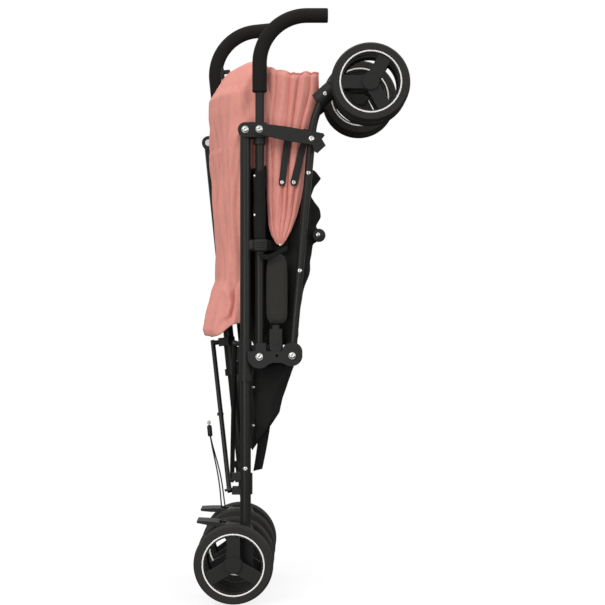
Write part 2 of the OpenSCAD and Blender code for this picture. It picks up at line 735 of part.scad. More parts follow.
// Two hood bows, flat bars on the outer face of a wing.
module hood_bows() {
    bow_w = 13;
    bow_t = 2.6;
    face = leg_r + 1.5 - soft_gap;
    feet = [0.69, 1.05];
    leans = [7, 14];
    bow_low = up(0.772);
    color("#151515") for (i = [0, 1])
        translate([ahead(feet[i]), 0, bow_low]) rotate([0, leans[i], 0])
            plate(face - bow_t, face) union() {
                circle(d = bow_w);
                translate([-bow_w / 2, 0]) square([bow_w, up(1.015) - bow_low]);
            }
}

// Hood: back cloth hanging behind the legs, and the folded top between the handles.
module hood() {
    rear = [[0.09, -1.36], [0.13, -1.32], [0.24, -1.17], [0.37, -0.97], [0.61, -0.72], [0.85, -0.67], [1.04, -0.65],
        [1.16, -0.57], [1.31, -0.27]];
    low = 0.094;
    shelf = 1.0405;
    high = 1.305;
    back_steps = 14;
    top_steps = 6;
    back = [for (i = [0:back_steps])
        let (u = i / back_steps, h = low + u * (shelf - low))
        section(up(h) - soft_gap, ahead(lookup(h, rear)), leg_x - 2, -hood_half_w, hood_half_w,
            hood_fold * (1.4 - u), 5, 40)];
    top = [for (i = [0:top_steps])
        let (u = i / top_steps, h = shelf + u * (high - shelf), r = sqrt(1 - 0.75 * u * u))
        section(up(h), ahead(lookup(h, rear)), ahead(0.44 + 1.3 * r), -hood_half_w * r, hood_half_w * r,
            hood_fold * (1 - u), 5, 40)];
    color("#d98b83") skin([for (ring = concat(back, top)) [for (p = ring) leant(p)]]);
}

// Folded seat: black cloth gathered between the sides, in front of the side tubes.
module seat() {
    front = [[0.05, 1.2], [0.11, 1.35], [0.32, 1.56], [0.46, 1.75], [0.5, 1.8], [0.515, 1.95], [0.55, 2], [0.58, 1.86],
        [0.64, 1.87], [0.72, 1.72], [0.82, 1.92], [0.85, 1.73]];
    low = 0.058;
    high = 0.849;
    steps = 20;
    pad_top = pad_low + pad_h;
    rings = [for (i = [0:steps])
        let (u = i / steps, h = low + u * (high - low), z = up(h), step = min(1, max(0, (pad_top - z) / 50)),
            w = seat_half_w + (seat_low_half_w - seat_half_w) * step)
        section(z, ahead(0.2 + 0.1 * u), ahead(lookup(h, front)), -w, w, 4 * sin(180 * u), 4, 32)];
    color("#1f1f20") skin([for (ring = rings) [for (p = ring) leant(p)]]);
}

// Shopping basket: limp mesh bag that hangs under the knuckles, in front of the rear legs.
module basket() {
    front = [[-0.42, -0.13], [-0.375, 0], [-0.33, 0.25], [-0.255, 0.6], [-0.185, 0.7], [-0.12, 0.86], [-0.05, 1.1],
        [-0.02, 1.12]];
    low = -0.41;
    high = -0.027;
    steps = 14;
    rings = [for (i = [0:steps])
        let (h = low + i / steps * (high - low))
        section(up(h), leg_x + leg_r + 3, ahead(lookup(h, front)), -basket_half_w, basket_half_w, 1, 5, 32)];
    color("#161617") skin([for (ring = rings) [for (p = ring) leant(p)]]);
}

// Brake cable: from one brake to the other, with the ferrule that joins its two runs at the top.
module brake_cable() {
    cap = ferrule_top + 0.5 * (ferrule_top - ferrule_low);
    color("#2a2a2a") union() {
        rod(right_out(cable_foot) + 0.02 * (cable_meet - right_out(cable_foot)), cable_meet, cable_d);
        rod(left_out(cable_foot) + 0.02 * (cable_meet - left_out(cable_foot)), cable_meet, cable_d);
        rod(ferrule_low, ferrule_top, 9);
        rod(ferrule_low + 0.5 * (ferrule_top - ferrule_low), cap, 6);
    }
}

right() rear_leg();  // right_rear_leg
right() leg_lug(right_bar_low, right_bar_top);  // right_leg_lug
right() leg_sleeve(front_bar_x);  // right_leg_sleeve
right() brake_housing(right_in(cable_meet));  // right_brake_housing
right() brake_pedal();  // right_brake_pedal
right() axle(rear_at, rear_track);  // right_rear_axle
right() rims(rear_at, rear_track, 8, 90);  // right_rear_rims
right() tyres(rear_at, rear_track);  // right_rear_tyres
right() crossed_brace_bar();  // right_brace_bar
right() side_tube();  // right_side_tube
right() top_bracket();  // right_top_bracket
right() bracket_rivets(catch_t);  // right_bracket_rivets
right() handle_tube();  // right_handle_tube
right() grip();  // right_grip
right() knuckle();  // right_knuckle
right() knuckle_pins();  // right_knuckle_pins
right() bumper_clip();  // right_bumper_clip
right() bumper_button();  // right_bumper_button
right() bumper_pad();  // right_bumper_pad
right() front_leg();  // right_front_leg
right() caster_housing();  // right_caster_housing
right() caster_fork();  // right_caster_fork
right() axle(caster_axle, front_track);  // right_front_axle
right() rims(caster_axle, front_track, 11, 180);  // right_front_rims
right() tyres(caster_axle, front_track);  // right_front_tyres
right() hood_wing();  // right_hood_wing
left() rear_leg();  // left_rear_leg
left() leg_lug(left_bar_low, left_bar_top);  // left_leg_lug
left() leg_sleeve(rear_bar_x);  // left_leg_sleeve
left() brake_housing(left_in(cable_meet));  // left_brake_housing
left() brake_pedal();  // left_brake_pedal
left() axle(rear_at, rear_track);  // left_rear_axle
left() rims(rear_at, rear_track, 8, 90);  // left_rear_rims
left() tyres(rear_at, rear_track);  // left_rear_tyres
left() brace_bar(left_bar_low, left_bar_top);  // left_brace_bar
left() side_tube();  // left_side_tube
left() top_bracket();  // left_top_bracket
left() bracket_rivets(0);  // left_bracket_rivets
left() handle_tube();  // left_handle_tube
left() grip();  // left_grip
left() knuckle();  // left_knuckle
left() knuckle_pins();  // left_knuckle_pins
left() bumper_clip();  // left_bumper_clip
left() bumper_button();  // left_bumper_button
left() bumper_pad();  // left_bumper_pad
left_front() front_leg();  // left_front_leg
left_front() caster_housing();  // left_caster_housing
left_front() caster_fork();  // left_caster_fork
left_front() axle(caster_axle, front_track);  // left_front_axle
left_front() rims(caster_axle, front_track, 11, 180);  // left_front_rims
left_front() tyres(caster_axle, front_track);  // left_front_tyres
left() hood_wing();  // left_hood_wing
right() transport_catch();
right() catch_stud();
right() hood_bows();  // right_hood_bows
left() hood_bows();  // left_hood_bows
brake_cable();
hood();
seat();
basket();
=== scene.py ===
"""Looks of the folded umbrella stroller: finishes on the frame, and the soft parts and trim as surfaces."""

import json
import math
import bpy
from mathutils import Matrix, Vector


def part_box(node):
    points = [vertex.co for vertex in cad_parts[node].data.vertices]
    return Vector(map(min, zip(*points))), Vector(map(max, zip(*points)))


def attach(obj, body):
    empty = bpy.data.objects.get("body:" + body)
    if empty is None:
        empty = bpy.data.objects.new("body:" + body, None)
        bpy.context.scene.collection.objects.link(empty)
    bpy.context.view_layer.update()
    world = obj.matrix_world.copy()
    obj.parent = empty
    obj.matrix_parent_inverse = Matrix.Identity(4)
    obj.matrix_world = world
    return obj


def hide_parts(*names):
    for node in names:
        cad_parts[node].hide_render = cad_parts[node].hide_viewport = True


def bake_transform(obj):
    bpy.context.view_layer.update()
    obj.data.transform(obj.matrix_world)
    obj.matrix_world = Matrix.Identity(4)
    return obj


bl_info = {
    "name": "Folded umbrella stroller",
    "version": (1, 0, 0),
    "blender": (4, 5, 0),
    "location": "View3D > Sidebar > Stroller",
    "description": "Dresses the stroller's frame with finishes, cloth, foam and trim",
    "category": "Object",
}

import bmesh
import bpy
import numpy as np

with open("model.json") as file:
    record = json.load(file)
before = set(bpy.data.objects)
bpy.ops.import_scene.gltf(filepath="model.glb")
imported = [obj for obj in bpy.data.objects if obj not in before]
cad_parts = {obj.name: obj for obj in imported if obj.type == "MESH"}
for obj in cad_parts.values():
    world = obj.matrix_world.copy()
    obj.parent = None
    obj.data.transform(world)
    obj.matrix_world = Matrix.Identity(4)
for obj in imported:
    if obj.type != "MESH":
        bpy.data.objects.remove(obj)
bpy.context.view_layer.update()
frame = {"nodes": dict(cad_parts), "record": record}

# Sizes shared with the frame, in millimetres, under the names that they have in its source.
AXLE_Z, REAR_TRACK, FRONT_TRACK = 72.5, 44.0, 29.0
SIDE_Y, LEAN_HALF, HOOD_HALF_W = 96.0, 56.0, 76.0
SIDE_LEAN, FRONT_LEAN, LEFT_FRONT_OPEN = math.radians(5.8), math.radians(5.1), math.radians(8.9)
LEG_X, SIDE_X, FRONT_X = 20.0, 46.0, 106.0
FOLD_Z, KNUCKLE_Z, FRONT_Z = 863.0, 447.0, 449.0
CASTER_AT, CASTER_AXLE, STUD_AT = (166.52, 928.4), (248.95, 947.44), (141.4, 845.4)
CHEEK_OUT, CATCH_T, RIVET_HEAD_H = 16.1, 5.0, 2.5
GRIP_D, GRIP_Z, GRIP_STRAIGHT, HANDLE_BEND_R, HANDLE_REACH = 27.0, 933.0, 54.0, 88.0, 38.0
BRACE_IN, BRACE_TOP_Z, REAR_BAR_X, FRONT_BAR_X = 20.0, 470.0, -11.0, -0.8
CABLE_D, CABLE_FOOT, CABLE_MEET = 2.6, (-20.0, 0.0, 127.5), (-51.5, 0.0, 293.0)

SIDES = ("right", "left")
# Added along a path whose end points coincide, so that each of them has a tangent, in mm.
DRIFT = 0.001
# Thickness of webbing, in metres.
WEBBING_T = 0.0016
# Colour sockets of a Mix node: its two inputs and its result.
MIX_A, MIX_B, MIX_RESULT = 6, 7, 2


def linear(hex_colour):
    """Linear RGBA of an sRGB hex colour."""
    value = np.array([int(hex_colour[i : i + 2], 16) / 255 for i in (1, 3, 5)])
    low = value / 12.92
    high = ((value + 0.055) / 1.055) ** 2.4
    return (*np.where(value <= 0.04045, low, high).tolist(), 1.0)


class StrollerCloth(bpy.types.PropertyGroup):
    """Colours and folds of the cloth"""

    hood_colour: bpy.props.FloatVectorProperty(
        name="Hood", description="Colour of the hood's cloth", subtype="COLOR", size=4, default=linear("#dc9488")
    )
    seat_colour: bpy.props.FloatVectorProperty(
        name="Seat", description="Colour of the seat's cloth", subtype="COLOR", size=4, default=linear("#1e1e1c")
    )
    fold_depth: bpy.props.FloatProperty(
        name="Fold depth", description="Depth of the hood's hanging folds", unit="LENGTH", default=0.004
    )
    cloth_thickness: bpy.props.FloatProperty(
        name="Cloth", description="Thickness of the hood's cloth", unit="LENGTH", default=0.0014
    )


class StrollerFrame(bpy.types.PropertyGroup):
    """Colours of the frame and its wheels"""

    tube_colour: bpy.props.FloatVectorProperty(
        name="Tubes", description="Colour of the coated tubes", subtype="COLOR", size=4, default=linear("#1a1b18")
    )
    plastic_colour: bpy.props.FloatVectorProperty(
        name="Plastic", description="Colour of the moulded parts", subtype="COLOR", size=4, default=linear("#1c1c1b")
    )
    ring_colour: bpy.props.FloatVectorProperty(
        name="Rings", description="Colour of the wheels' rings", subtype="COLOR", size=4, default=linear("#e9e7e2")
    )
    ring_width: bpy.props.FloatProperty(
        name="Ring width", description="Width of a wheel's ring", unit="LENGTH", default=0.0028
    )


class StrollerStage(bpy.types.PropertyGroup):
    """Floor, light and camera"""

    floor_colour: bpy.props.FloatVectorProperty(
        name="Floor", description="Colour of the floor", subtype="COLOR", size=4, default=linear("#fbfbfa")
    )
    camera_distance: bpy.props.FloatProperty(
        name="Distance", description="Camera's distance from the middle plane", unit="LENGTH", default=2.616
    )


def on_side(points, side):
    """Points of a side's own frame, in mm, as metres of the stroller's frame.

    A side's own frame has x forward, y inward from the tubes' plane and z up. The right side is only shifted.
    The left side is mirrored and leans back about its rear axle: x' = x cos a - h sin a, z' = x sin a + h cos a.
    """
    p = np.asarray(points, float)
    if side == "right":
        return (p - [0, SIDE_Y, 0]) / 1000
    h = p[..., 2] - AXLE_Z
    x = p[..., 0] * math.cos(SIDE_LEAN) - h * math.sin(SIDE_LEAN)
    z = AXLE_Z + p[..., 0] * math.sin(SIDE_LEAN) + h * math.cos(SIDE_LEAN)
    return grid_of(x, SIDE_Y - p[..., 1], z) / 1000


def lean_share(y):
    """Share of the left side's lean at a place across: none at the right side, all at the left one."""
    return np.clip((np.asarray(y, float) + LEAN_HALF) / (2 * LEAN_HALF), 0, 1)


def leant(points):
    """Points in mm with their share of the left side's lean, in metres."""
    p = np.asarray(points, float)
    a = SIDE_LEAN * lean_share(p[..., 1])
    h = p[..., 2] - AXLE_Z
    x = p[..., 0] * np.cos(a) - h * np.sin(a)
    z = AXLE_Z + p[..., 0] * np.sin(a) + h * np.cos(a)
    return grid_of(x, p[..., 1], z) / 1000


def opened(points):
    """Points of the left front leg, turned out about the leg's pivot by its own angle, in mm."""
    p = np.asarray(points, float)
    x, z = p[..., 0] - FRONT_X, p[..., 2] - FRONT_Z
    c, s = math.cos(LEFT_FRONT_OPEN), math.sin(LEFT_FRONT_OPEN)
    return grid_of(FRONT_X + x * c + z * s, p[..., 1], FRONT_Z - x * s + z * c)


def at_front(points, side):
    """Points of a front leg's or caster's frame, placed on that side."""
    return on_side(opened(points) if side == "left" else points, side)


def root(value, power):
    """Power of a value's size that keeps its sign."""
    return np.sign(value) * np.abs(value) ** power


def even_angles(count, width, depth, power):
    """Angles from -90 to 90 degrees that cut the section (depth cos^p, width sin^p) into equal lengths."""
    t = np.linspace(-np.pi / 2, np.pi / 2, 8001)
    step = np.hypot(np.diff(depth * root(np.cos(t), power)), np.diff(width * root(np.sin(t), power)))
    length = np.concatenate([[0.0], np.cumsum(step)])
    return np.interp(np.linspace(0, length[-1], count), length, t)


def smooth(value, low, high):
    """0 below low, 1 above high and 3t^2 - 2t^3 between."""
    t = np.clip((np.asarray(value, float) - low) / (high - low), 0, 1)
    return t * t * (3 - 2 * t)


def around(count):
    """Even angles round a circle."""
    return np.linspace(0, 2 * np.pi, count, endpoint=False)


def grid_of(x, y, z):
    """Grid of points from coordinates that broadcast to one shape."""
    return np.stack(np.broadcast_arrays(x, y, z), -1)


def grid_faces(rows, cols, wrap_rows, wrap_cols):
    """Quads between neighbouring points of a grid, closed along an axis where it wraps."""
    r = np.arange(rows if wrap_rows else rows - 1)
    c = np.arange(cols if wrap_cols else cols - 1)
    i, j = np.meshgrid(r, c, indexing="ij")
    i1, j1 = (i + 1) % rows, (j + 1) % cols
    return np.stack([i * cols + j, i * cols + j1, i1 * cols + j1, i1 * cols + j], -1).reshape(-1, 4)


def surface(name, grids, wrap_rows=False, wrap_cols=True, weld=0.00005):
    """One mesh object from grids of points; points that coincide are merged and faces look out."""
    verts, faces, offset = [], [], 0
    for points in grids:
        rows, cols = points.shape[:2]
        verts.append(points.reshape(-1, 3))
        faces.append(grid_faces(rows, cols, wrap_rows, wrap_cols) + offset)
        offset += rows * cols
    mesh = bpy.data.meshes.new(name)
    mesh.from_pydata(np.concatenate(verts).tolist(), [], np.concatenate(faces).tolist())
    edit = bmesh.new()
    edit.from_mesh(mesh)
    bmesh.ops.remove_doubles(edit, verts=edit.verts, dist=weld)
    bmesh.ops.recalc_face_normals(edit, faces=edit.faces)
    edit.to_mesh(mesh)
    edit.free()
    mesh.polygons.foreach_set("use_smooth", np.ones(len(mesh.polygons), bool))
    mesh.update()
    piece = bpy.data.objects.new(name, mesh)
    bpy.context.scene.collection.objects.link(piece)
    return piece


def sweep(path, radius, sides=24):
    """Round tube: circles of the given radii, square to a path of points, as a grid of path by sides.

    The first direction of each circle is the tangent crossed with the y axis, so the path never runs along y.
    """
    path = np.asarray(path, float)
    tangent = np.gradient(path, axis=0)
    tangent /= np.linalg.norm(tangent, axis=1, keepdims=True)
    first = np.cross(tangent, [0.0, 1.0, 0.0])
    first /= np.linalg.norm(first, axis=1, keepdims=True)
    second = np.cross(tangent, first)
    angle = around(sides)
    r = np.broadcast_to(np.asarray(radius, float), len(path))[:, None, None]
    ring = np.cos(angle)[None, :, None] * first[:, None] + np.sin(angle)[None, :, None] * second[:, None]
    return path[:, None] + r * ring


def turned_profile(profile, at, side_sign, sides=28):
    """Profile of (radius, height) turned about an axis across the stroller, at a point of the side plane.

    Height grows towards side_sign on y; the grid is profile by sides.
    """
    profile = np.asarray(profile, float)
    angle = around(sides)
    x = at[0] + profile[:, :1] * np.cos(angle)
    z = at[2] + profile[:, :1] * np.sin(angle)
    y = at[1] + side_sign * profile[:, 1:]
    return grid_of(x, y, z)


def slab(x0, x1, y0, y1, z0, z1, power=0.3, rows=14, cols=28):
    """Rounded block: a superellipsoid with a small power, as a grid of latitude by longitude."""
    v = np.linspace(-np.pi / 2, np.pi / 2, rows)[:, None]
    u = around(cols)[None]
    x = (x0 + x1) / 2 + (x1 - x0) / 2 * root(np.cos(v), power) * root(np.cos(u), power)
    y = (y0 + y1) / 2 + (y1 - y0) / 2 * root(np.cos(v), power) * root(np.sin(u), power)
    z = (z0 + z1) / 2 + (z1 - z0) / 2 * root(np.sin(v), power)
    return grid_of(x, y, z)


def table_of(z, rows):
    """Values of an outline at heights z, straight between its listed (height, value) rows."""
    rows = np.asarray(sorted(rows), float)
    return np.interp(z, rows[:, 0], rows[:, 1])


def dress(piece, slot, name=None):
    """Gives a piece the named finish, or else the finish of its slot."""
    piece.data.materials.clear()
    piece.data.materials.append(finish(name or SLOT_FINISH[slot]))


def thicken(piece, thickness):
    """Cloth thickness on both sides of the surface."""
    solid = piece.modifiers.new("Cloth thickness", "SOLIDIFY")
    solid.thickness = thickness
    solid.offset = 0


def subdivide(piece):
    """One smoothing level, the same in the view and the render."""
    sub = piece.modifiers.new("Smooth", "SUBSURF")
    sub.levels = sub.render_levels = 1


def area_of(piece):
    """Area of a piece's surface before its thickness, in square metres."""
    areas = np.empty(len(piece.data.polygons))
    piece.data.polygons.foreach_get("area", areas)
    return float(areas.sum())


def add_node(tree, kind, settings=None, links=None):
    """Adds one node, sets its sockets or properties by name and links its inputs from (node, output) pairs."""
    node = tree.nodes.new(kind)
    for key, value in (settings or {}).items():
        if isinstance(key, str) and hasattr(node, key):
            setattr(node, key, value)
        else:
            node.inputs[key].default_value = value
    for key, (source, output) in (links or {}).items():
        tree.links.new(source.outputs[output], node.inputs[key])
    return node


def new_material(name):
    """Empty node material, its tree, and the link that gives a texture the object coordinates."""
    material = bpy.data.materials.new(name)
    material.use_nodes = True
    tree = material.node_tree
    tree.nodes.clear()
    return material, tree, {"Vector": (add_node(tree, "ShaderNodeTexCoord"), "Object")}


def shade(colour, factor):
    """A colour made darker or lighter by a factor."""
    return tuple(min(1.0, c * factor) for c in colour[:3]) + (1.0,)


def grained(name, colour, roughness, grain_mm, depth_mm, gloss=0.25, metallic=0.0):
    """Plain surface with a fine grain: noise of the given size in mm, as bump only."""
    material, tree, where = new_material(name)
    noise = add_node(tree, "ShaderNodeTexNoise", {"Scale": 1000 / grain_mm, "Detail": 3.0}, where)
    bump = add_node(
        tree, "ShaderNodeBump", {"Strength": 0.35, "Distance": depth_mm / 1000}, {"Height": (noise, "Fac")}
    )
    shader = add_node(
        tree,
        "ShaderNodeBsdfPrincipled",
        {"Base Color": colour, "Roughness": roughness, "Metallic": metallic, "Specular IOR Level": gloss},
        {"Normal": (bump, "Normal")},
    )
    add_node(tree, "ShaderNodeOutputMaterial", {}, {"Surface": (shader, "BSDF")})
    return material


def woven(name, colour, thread_mm, contrast, sheen):
    """Plain-woven polyester: crossed threads as diagonal and level bands, with uneven dye between the threads.

    Real threads of 0.4 mm are too fine to show, so they are drawn at thread_mm.
    """
    material, tree, where = new_material(name)
    # A wave repeats about every 0.32 m at scale 1, so this gives one band to a thread.
    bands = 320 / thread_mm
    thread = {"Scale": bands, "Distortion": 1.5, "Detail": 1.0}
    warp, weft = (
        add_node(tree, "ShaderNodeTexWave", {"bands_direction": way, **thread}, where) for way in ("DIAGONAL", "Z")
    )
    weave = add_node(tree, "ShaderNodeMath", {"operation": "MULTIPLY"}, {0: (warp, "Fac"), 1: (weft, "Fac")})
    slub = add_node(tree, "ShaderNodeTexNoise", {"Scale": 1000 / (thread_mm * 4), "Detail": 4.0}, where)
    tone = add_node(tree, "ShaderNodeMath", {"operation": "ADD"}, {0: (weave, "Value"), 1: (slub, "Fac")})
    dark, light = shade(colour, 1 - contrast), shade(colour, 1 + 0.6 * contrast)
    dyed = add_node(
        tree, "ShaderNodeMix", {"data_type": "RGBA", MIX_A: dark, MIX_B: light}, {"Factor": (slub, "Fac")}
    )
    bump = add_node(tree, "ShaderNodeBump", {"Strength": 0.3, "Distance": 0.0006}, {"Height": (tone, "Value")})
    shader = add_node(
        tree,
        "ShaderNodeBsdfPrincipled",
        {"Roughness": 0.88, "Sheen Weight": sheen, "Sheen Roughness": 0.5, "Specular IOR Level": 0.12},
        {"Base Color": (dyed, MIX_RESULT), "Normal": (bump, "Normal")},
    )
    add_node(tree, "ShaderNodeOutputMaterial", {}, {"Surface": (shader, "BSDF")})
    return material


def knitted_mesh(name, colour, pitch_mm):
    """Warp-knitted mesh: rows of small holes, drawn as dots of painted shade of a given pitch on both faces."""
    material, tree, where = new_material(name)
    holes = add_node(tree, "ShaderNodeTexVoronoi", {"Scale": 1000 / pitch_mm, "Randomness": 0.15}, where)
    # Painted shade: the holes' dots are the colour at 0.35, and the threads between them are at 1.5.
    dark, light = shade(colour, 0.35), shade(colour, 1.5)
    dotted = add_node(
        tree, "ShaderNodeMix", {"data_type": "RGBA", MIX_A: dark, MIX_B: light}, {"Factor": (holes, "Distance")}
    )
    bump = add_node(tree, "ShaderNodeBump", {"Strength": 0.4, "Distance": 0.0008}, {"Height": (holes, "Distance")})
    shader = add_node(
        tree,
        "ShaderNodeBsdfPrincipled",
        {"Roughness": 0.8, "Specular IOR Level": 0.15},
        {"Base Color": (dotted, MIX_RESULT), "Normal": (bump, "Normal")},
    )
    add_node(tree, "ShaderNodeOutputMaterial", {}, {"Surface": (shader, "BSDF")})
    return material


def finish(name):
    """The named finish, made once and then shared."""
    found = bpy.data.materials.get(name)
    if found:
        return found
    cloth, metal = bpy.context.scene.stroller_cloth, bpy.context.scene.stroller_frame
    # Each row gives the function that makes the finish, and what it takes after the name.
    makers = {
        # Powder coat levels out to a satin skin with a faint orange peel.
        "Powder-coated steel tube": (grained, tuple(metal.tube_colour), 0.4, 2.0, 0.05, 0.25),
        # Moulded polypropylene is dull, with a spark-eroded grain.
        "Moulded polypropylene": (grained, tuple(metal.plastic_colour), 0.5, 1.5, 0.08, 0.25),
        # Zinc plating on steel is bright with a slight blur.
        "Zinc-plated steel": (grained, linear("#cfcfcd"), 0.28, 1.0, 0.02, 0.5, 1.0),
        # Foamed rubber has an open, dry skin.
        "Foamed rubber tyre": (grained, linear("#292826"), 0.7, 1.6, 0.1, 0.2),
        # Cut foam shows its cells as a dull, even pitting.
        "Closed-cell foam grip": (grained, linear("#1e1d1c"), 0.92, 1.4, 0.25, 0.15),
        # Printed ring: flat, pale and dull.
        "Pale printed ring": (grained, tuple(metal.ring_colour), 0.45, 1.0, 0.01, 0.3),
        # A through hole shows as a spot with no light in it.
        "Drilled hole": (grained, linear("#050505"), 0.9, 1.0, 0.01, 0.0),
        # Plain weave of spun yarn: matt, with slubs and a soft sheen at the edges.
        "Woven polyester, hood": (woven, tuple(cloth.hood_colour), 2.2, 0.10, 0.08),
        "Woven polyester, seat": (woven, tuple(cloth.seat_colour), 2.2, 0.25, 0.03),
        # Brushed jersey over foam: no gloss, and paler than the seat.
        "Brushed jersey, pads": (woven, linear("#31302d"), 2.0, 0.15, 0.1),
        # Knitted net: dull, with rows of holes drawn as dots of painted shade.
        "Warp-knitted mesh, basket": (knitted_mesh, linear("#191918"), 4.0),
        # Woven strap: coarse ribs that catch little light.
        "Nylon webbing": (woven, linear("#171716"), 2.6, 0.3, 0.02),
        # Clear cap on the cable's end, slightly grey.
        "Clear vinyl cap": (grained, linear("#b9b9b4"), 0.25, 1.0, 0.01, 0.5),
    }
    make, *settings = makers[name]
    return make(name, *settings)


SLOT_FINISH = {
    "frame_tube": "Powder-coated steel tube",
    "black_plastic": "Moulded polypropylene",
    "steel": "Zinc-plated steel",
    "tyre": "Foamed rubber tyre",
    "foam": "Closed-cell foam grip",
    "black_cloth": "Woven polyester, seat",
    "pink_cloth": "Woven polyester, hood",
    "black_mesh": "Warp-knitted mesh, basket",
    "cable": "Moulded polypropylene",
}


class STROLLER_OT_frame(bpy.types.Operator):
    """Gives every piece of the frame the finish of its slot"""

    bl_idname = "stroller.frame"
    bl_label = "Finish the frame"

    def execute(self, context):
        for part in frame["record"]["subparts"]:
            node = frame["nodes"][part["node"]]
            node.data.materials.clear()
            node.data.materials.append(finish(SLOT_FINISH[part["material_slot"]]))
        return {"FINISHED"}


class STROLLER_OT_grips(bpy.types.Operator):
    """Foam grips: circles along the handle's line, bend and reach, drawn in at both ends"""

    bl_idname = "stroller.grips"
    bl_label = "Foam grips"

    def execute(self, context):
        bend_x, bend_z = SIDE_X + HANDLE_BEND_R, GRIP_Z + GRIP_STRAIGHT
        rise = np.linspace(GRIP_Z, bend_z, 14)
        turn = np.linspace(np.pi, np.pi / 2, 34)[1:]
        reach = np.linspace(0, HANDLE_REACH, 12)[1:]
        path = np.concatenate([
            grid_of(SIDE_X, 0.0, rise),
            grid_of(bend_x + HANDLE_BEND_R * np.cos(turn), 0.0, bend_z + HANDLE_BEND_R * np.sin(turn)),
            grid_of(bend_x + reach, 0.0, bend_z + HANDLE_BEND_R),
        ])
        # Rounded ends: shares of the radius at steps inward.
        lip = np.array([0.0, 0.82, 0.95, 1.0])
        steps = np.array([0.0, 0.0, 0.9, 2.6])
        start = path[0] + grid_of(0.0, 0.0, steps)
        end = path[-1] - grid_of(steps, 0.0, 0.0)
        inner = path[1:-1]
        path = np.concatenate([start, inner, end[::-1]])
        path = path + np.linspace(0, DRIFT, len(path))[:, None] * [1, 0, 1]
        radius = GRIP_D / 2 * np.concatenate([lip, np.ones(len(inner)), lip[::-1]])
        rings = sweep(path, radius, 32)
        for side in SIDES:
            piece = surface(f"{side}_foam_grip", [on_side(rings, side)])
            dress(piece, "foam")
            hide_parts(f"{side}_grip")
            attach(piece, f"{side}_handle")
        return {"FINISHED"}


class STROLLER_OT_wheel_rings(bpy.types.Operator):
    """Pale rings on the face of each wheel that looks away from its leg: a flat band turned about the axle"""

    bl_idname = "stroller.wheel_rings"
    bl_label = "Wheel rings"

    def execute(self, context):
        half = context.scene.stroller_frame.ring_width * 1000 / 2
        # The band's middle radius, and how far a wheel's face lies from the wheel's middle.
        middle, face = 55.6, 11.0
        band = [(middle - half, -0.2), (middle - half, 0.5), (middle, 0.9), (middle + half, 0.5), (middle + half, -0.2)]
        sets = {
            "rear": ((0.0, AXLE_Z), REAR_TRACK, on_side),
            "front": (CASTER_AXLE, FRONT_TRACK, at_front),
        }
        for side in SIDES:
            for end, (axle, track, place) in sets.items():
                grids = [
                    place(turned_profile(band, (axle[0], way * (track + face), axle[1]), way, 72), side)
                    for way in (-1, 1)
                ]
                piece = surface(f"{side}_{end}_rings", grids, wrap_rows=True)
                dress(piece, "steel", "Pale printed ring")
                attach(piece, f"{side}_{end}_wheels")
        return {"FINISHED"}


def front_point(reach):
    """Point on the front leg's axis at a distance from its pivot, in the side's frame."""
    return FRONT_X + reach * math.sin(FRONT_LEAN), FRONT_Z + reach * math.cos(FRONT_LEAN)


class STROLLER_OT_rivets(bpy.types.Operator):
    """Silver pan-head rivets with a recess, turned about axes across the stroller"""

    bl_idname = "stroller.rivets"
    bl_label = "Rivets"

    def execute(self, context):
        head = [(0, 0.9), (1.5, 0.9), (1.7, 1.7), (3.4, 1.6), (4.9, 1.0), (5.6, 0.1), (5.6, -0.8), (0, -0.8)]
        small = [(r * 0.78, h) for r, h in head]
        cap = CHEEK_OUT + RIVET_HEAD_H
        # Faces that the small rivets sit on, as y in the side's frame, and their heights on the bows and the rear leg.
        bow_y, leg_y, front_y, housing_y = 8.5, -10.2, -7.7, -16.1
        bow_z, leg_z = 768, 241
        upper, lower = front_point(336.5), front_point(156.0)
        for side in SIDES:
            catch = CATCH_T if side == "right" else 0.0
            sets = {
                f"{side}_side": [
                    (head, (LEG_X, -cap, FOLD_Z)),
                    (head, (SIDE_X, -cap - catch, FOLD_Z)),
                    (small, (SIDE_X + 41, bow_y, bow_z)),
                    (small, (SIDE_X + 63, bow_y, bow_z)),
                ],
                f"{side}_knuckle": [
                    (head, (SIDE_X, -cap, KNUCKLE_Z)),
                    (head, (FRONT_X, -cap, FRONT_Z)),
                ],
                f"{side}_rear": [(small, (LEG_X, leg_y, leg_z))],
                f"{side}_front": [
                    (small, (upper[0], front_y, upper[1])),
                    (small, (lower[0], front_y, lower[1])),
                    (small, (CASTER_AT[0], housing_y, CASTER_AT[1])),
                ],
            }
            if side == "right":
                sets["right_side"].append((head, (STUD_AT[0], -CHEEK_OUT - CATCH_T, STUD_AT[1])))
            for body, rivets in sets.items():
                place = at_front if body.endswith("_front") else on_side
                grids = [place(turned_profile(p, at, -1, 24), side) for p, at in rivets]
                piece = surface(f"{body}_rivet_heads", grids)
                dress(piece, "steel")
                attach(piece, body)
        return {"FINISHED"}


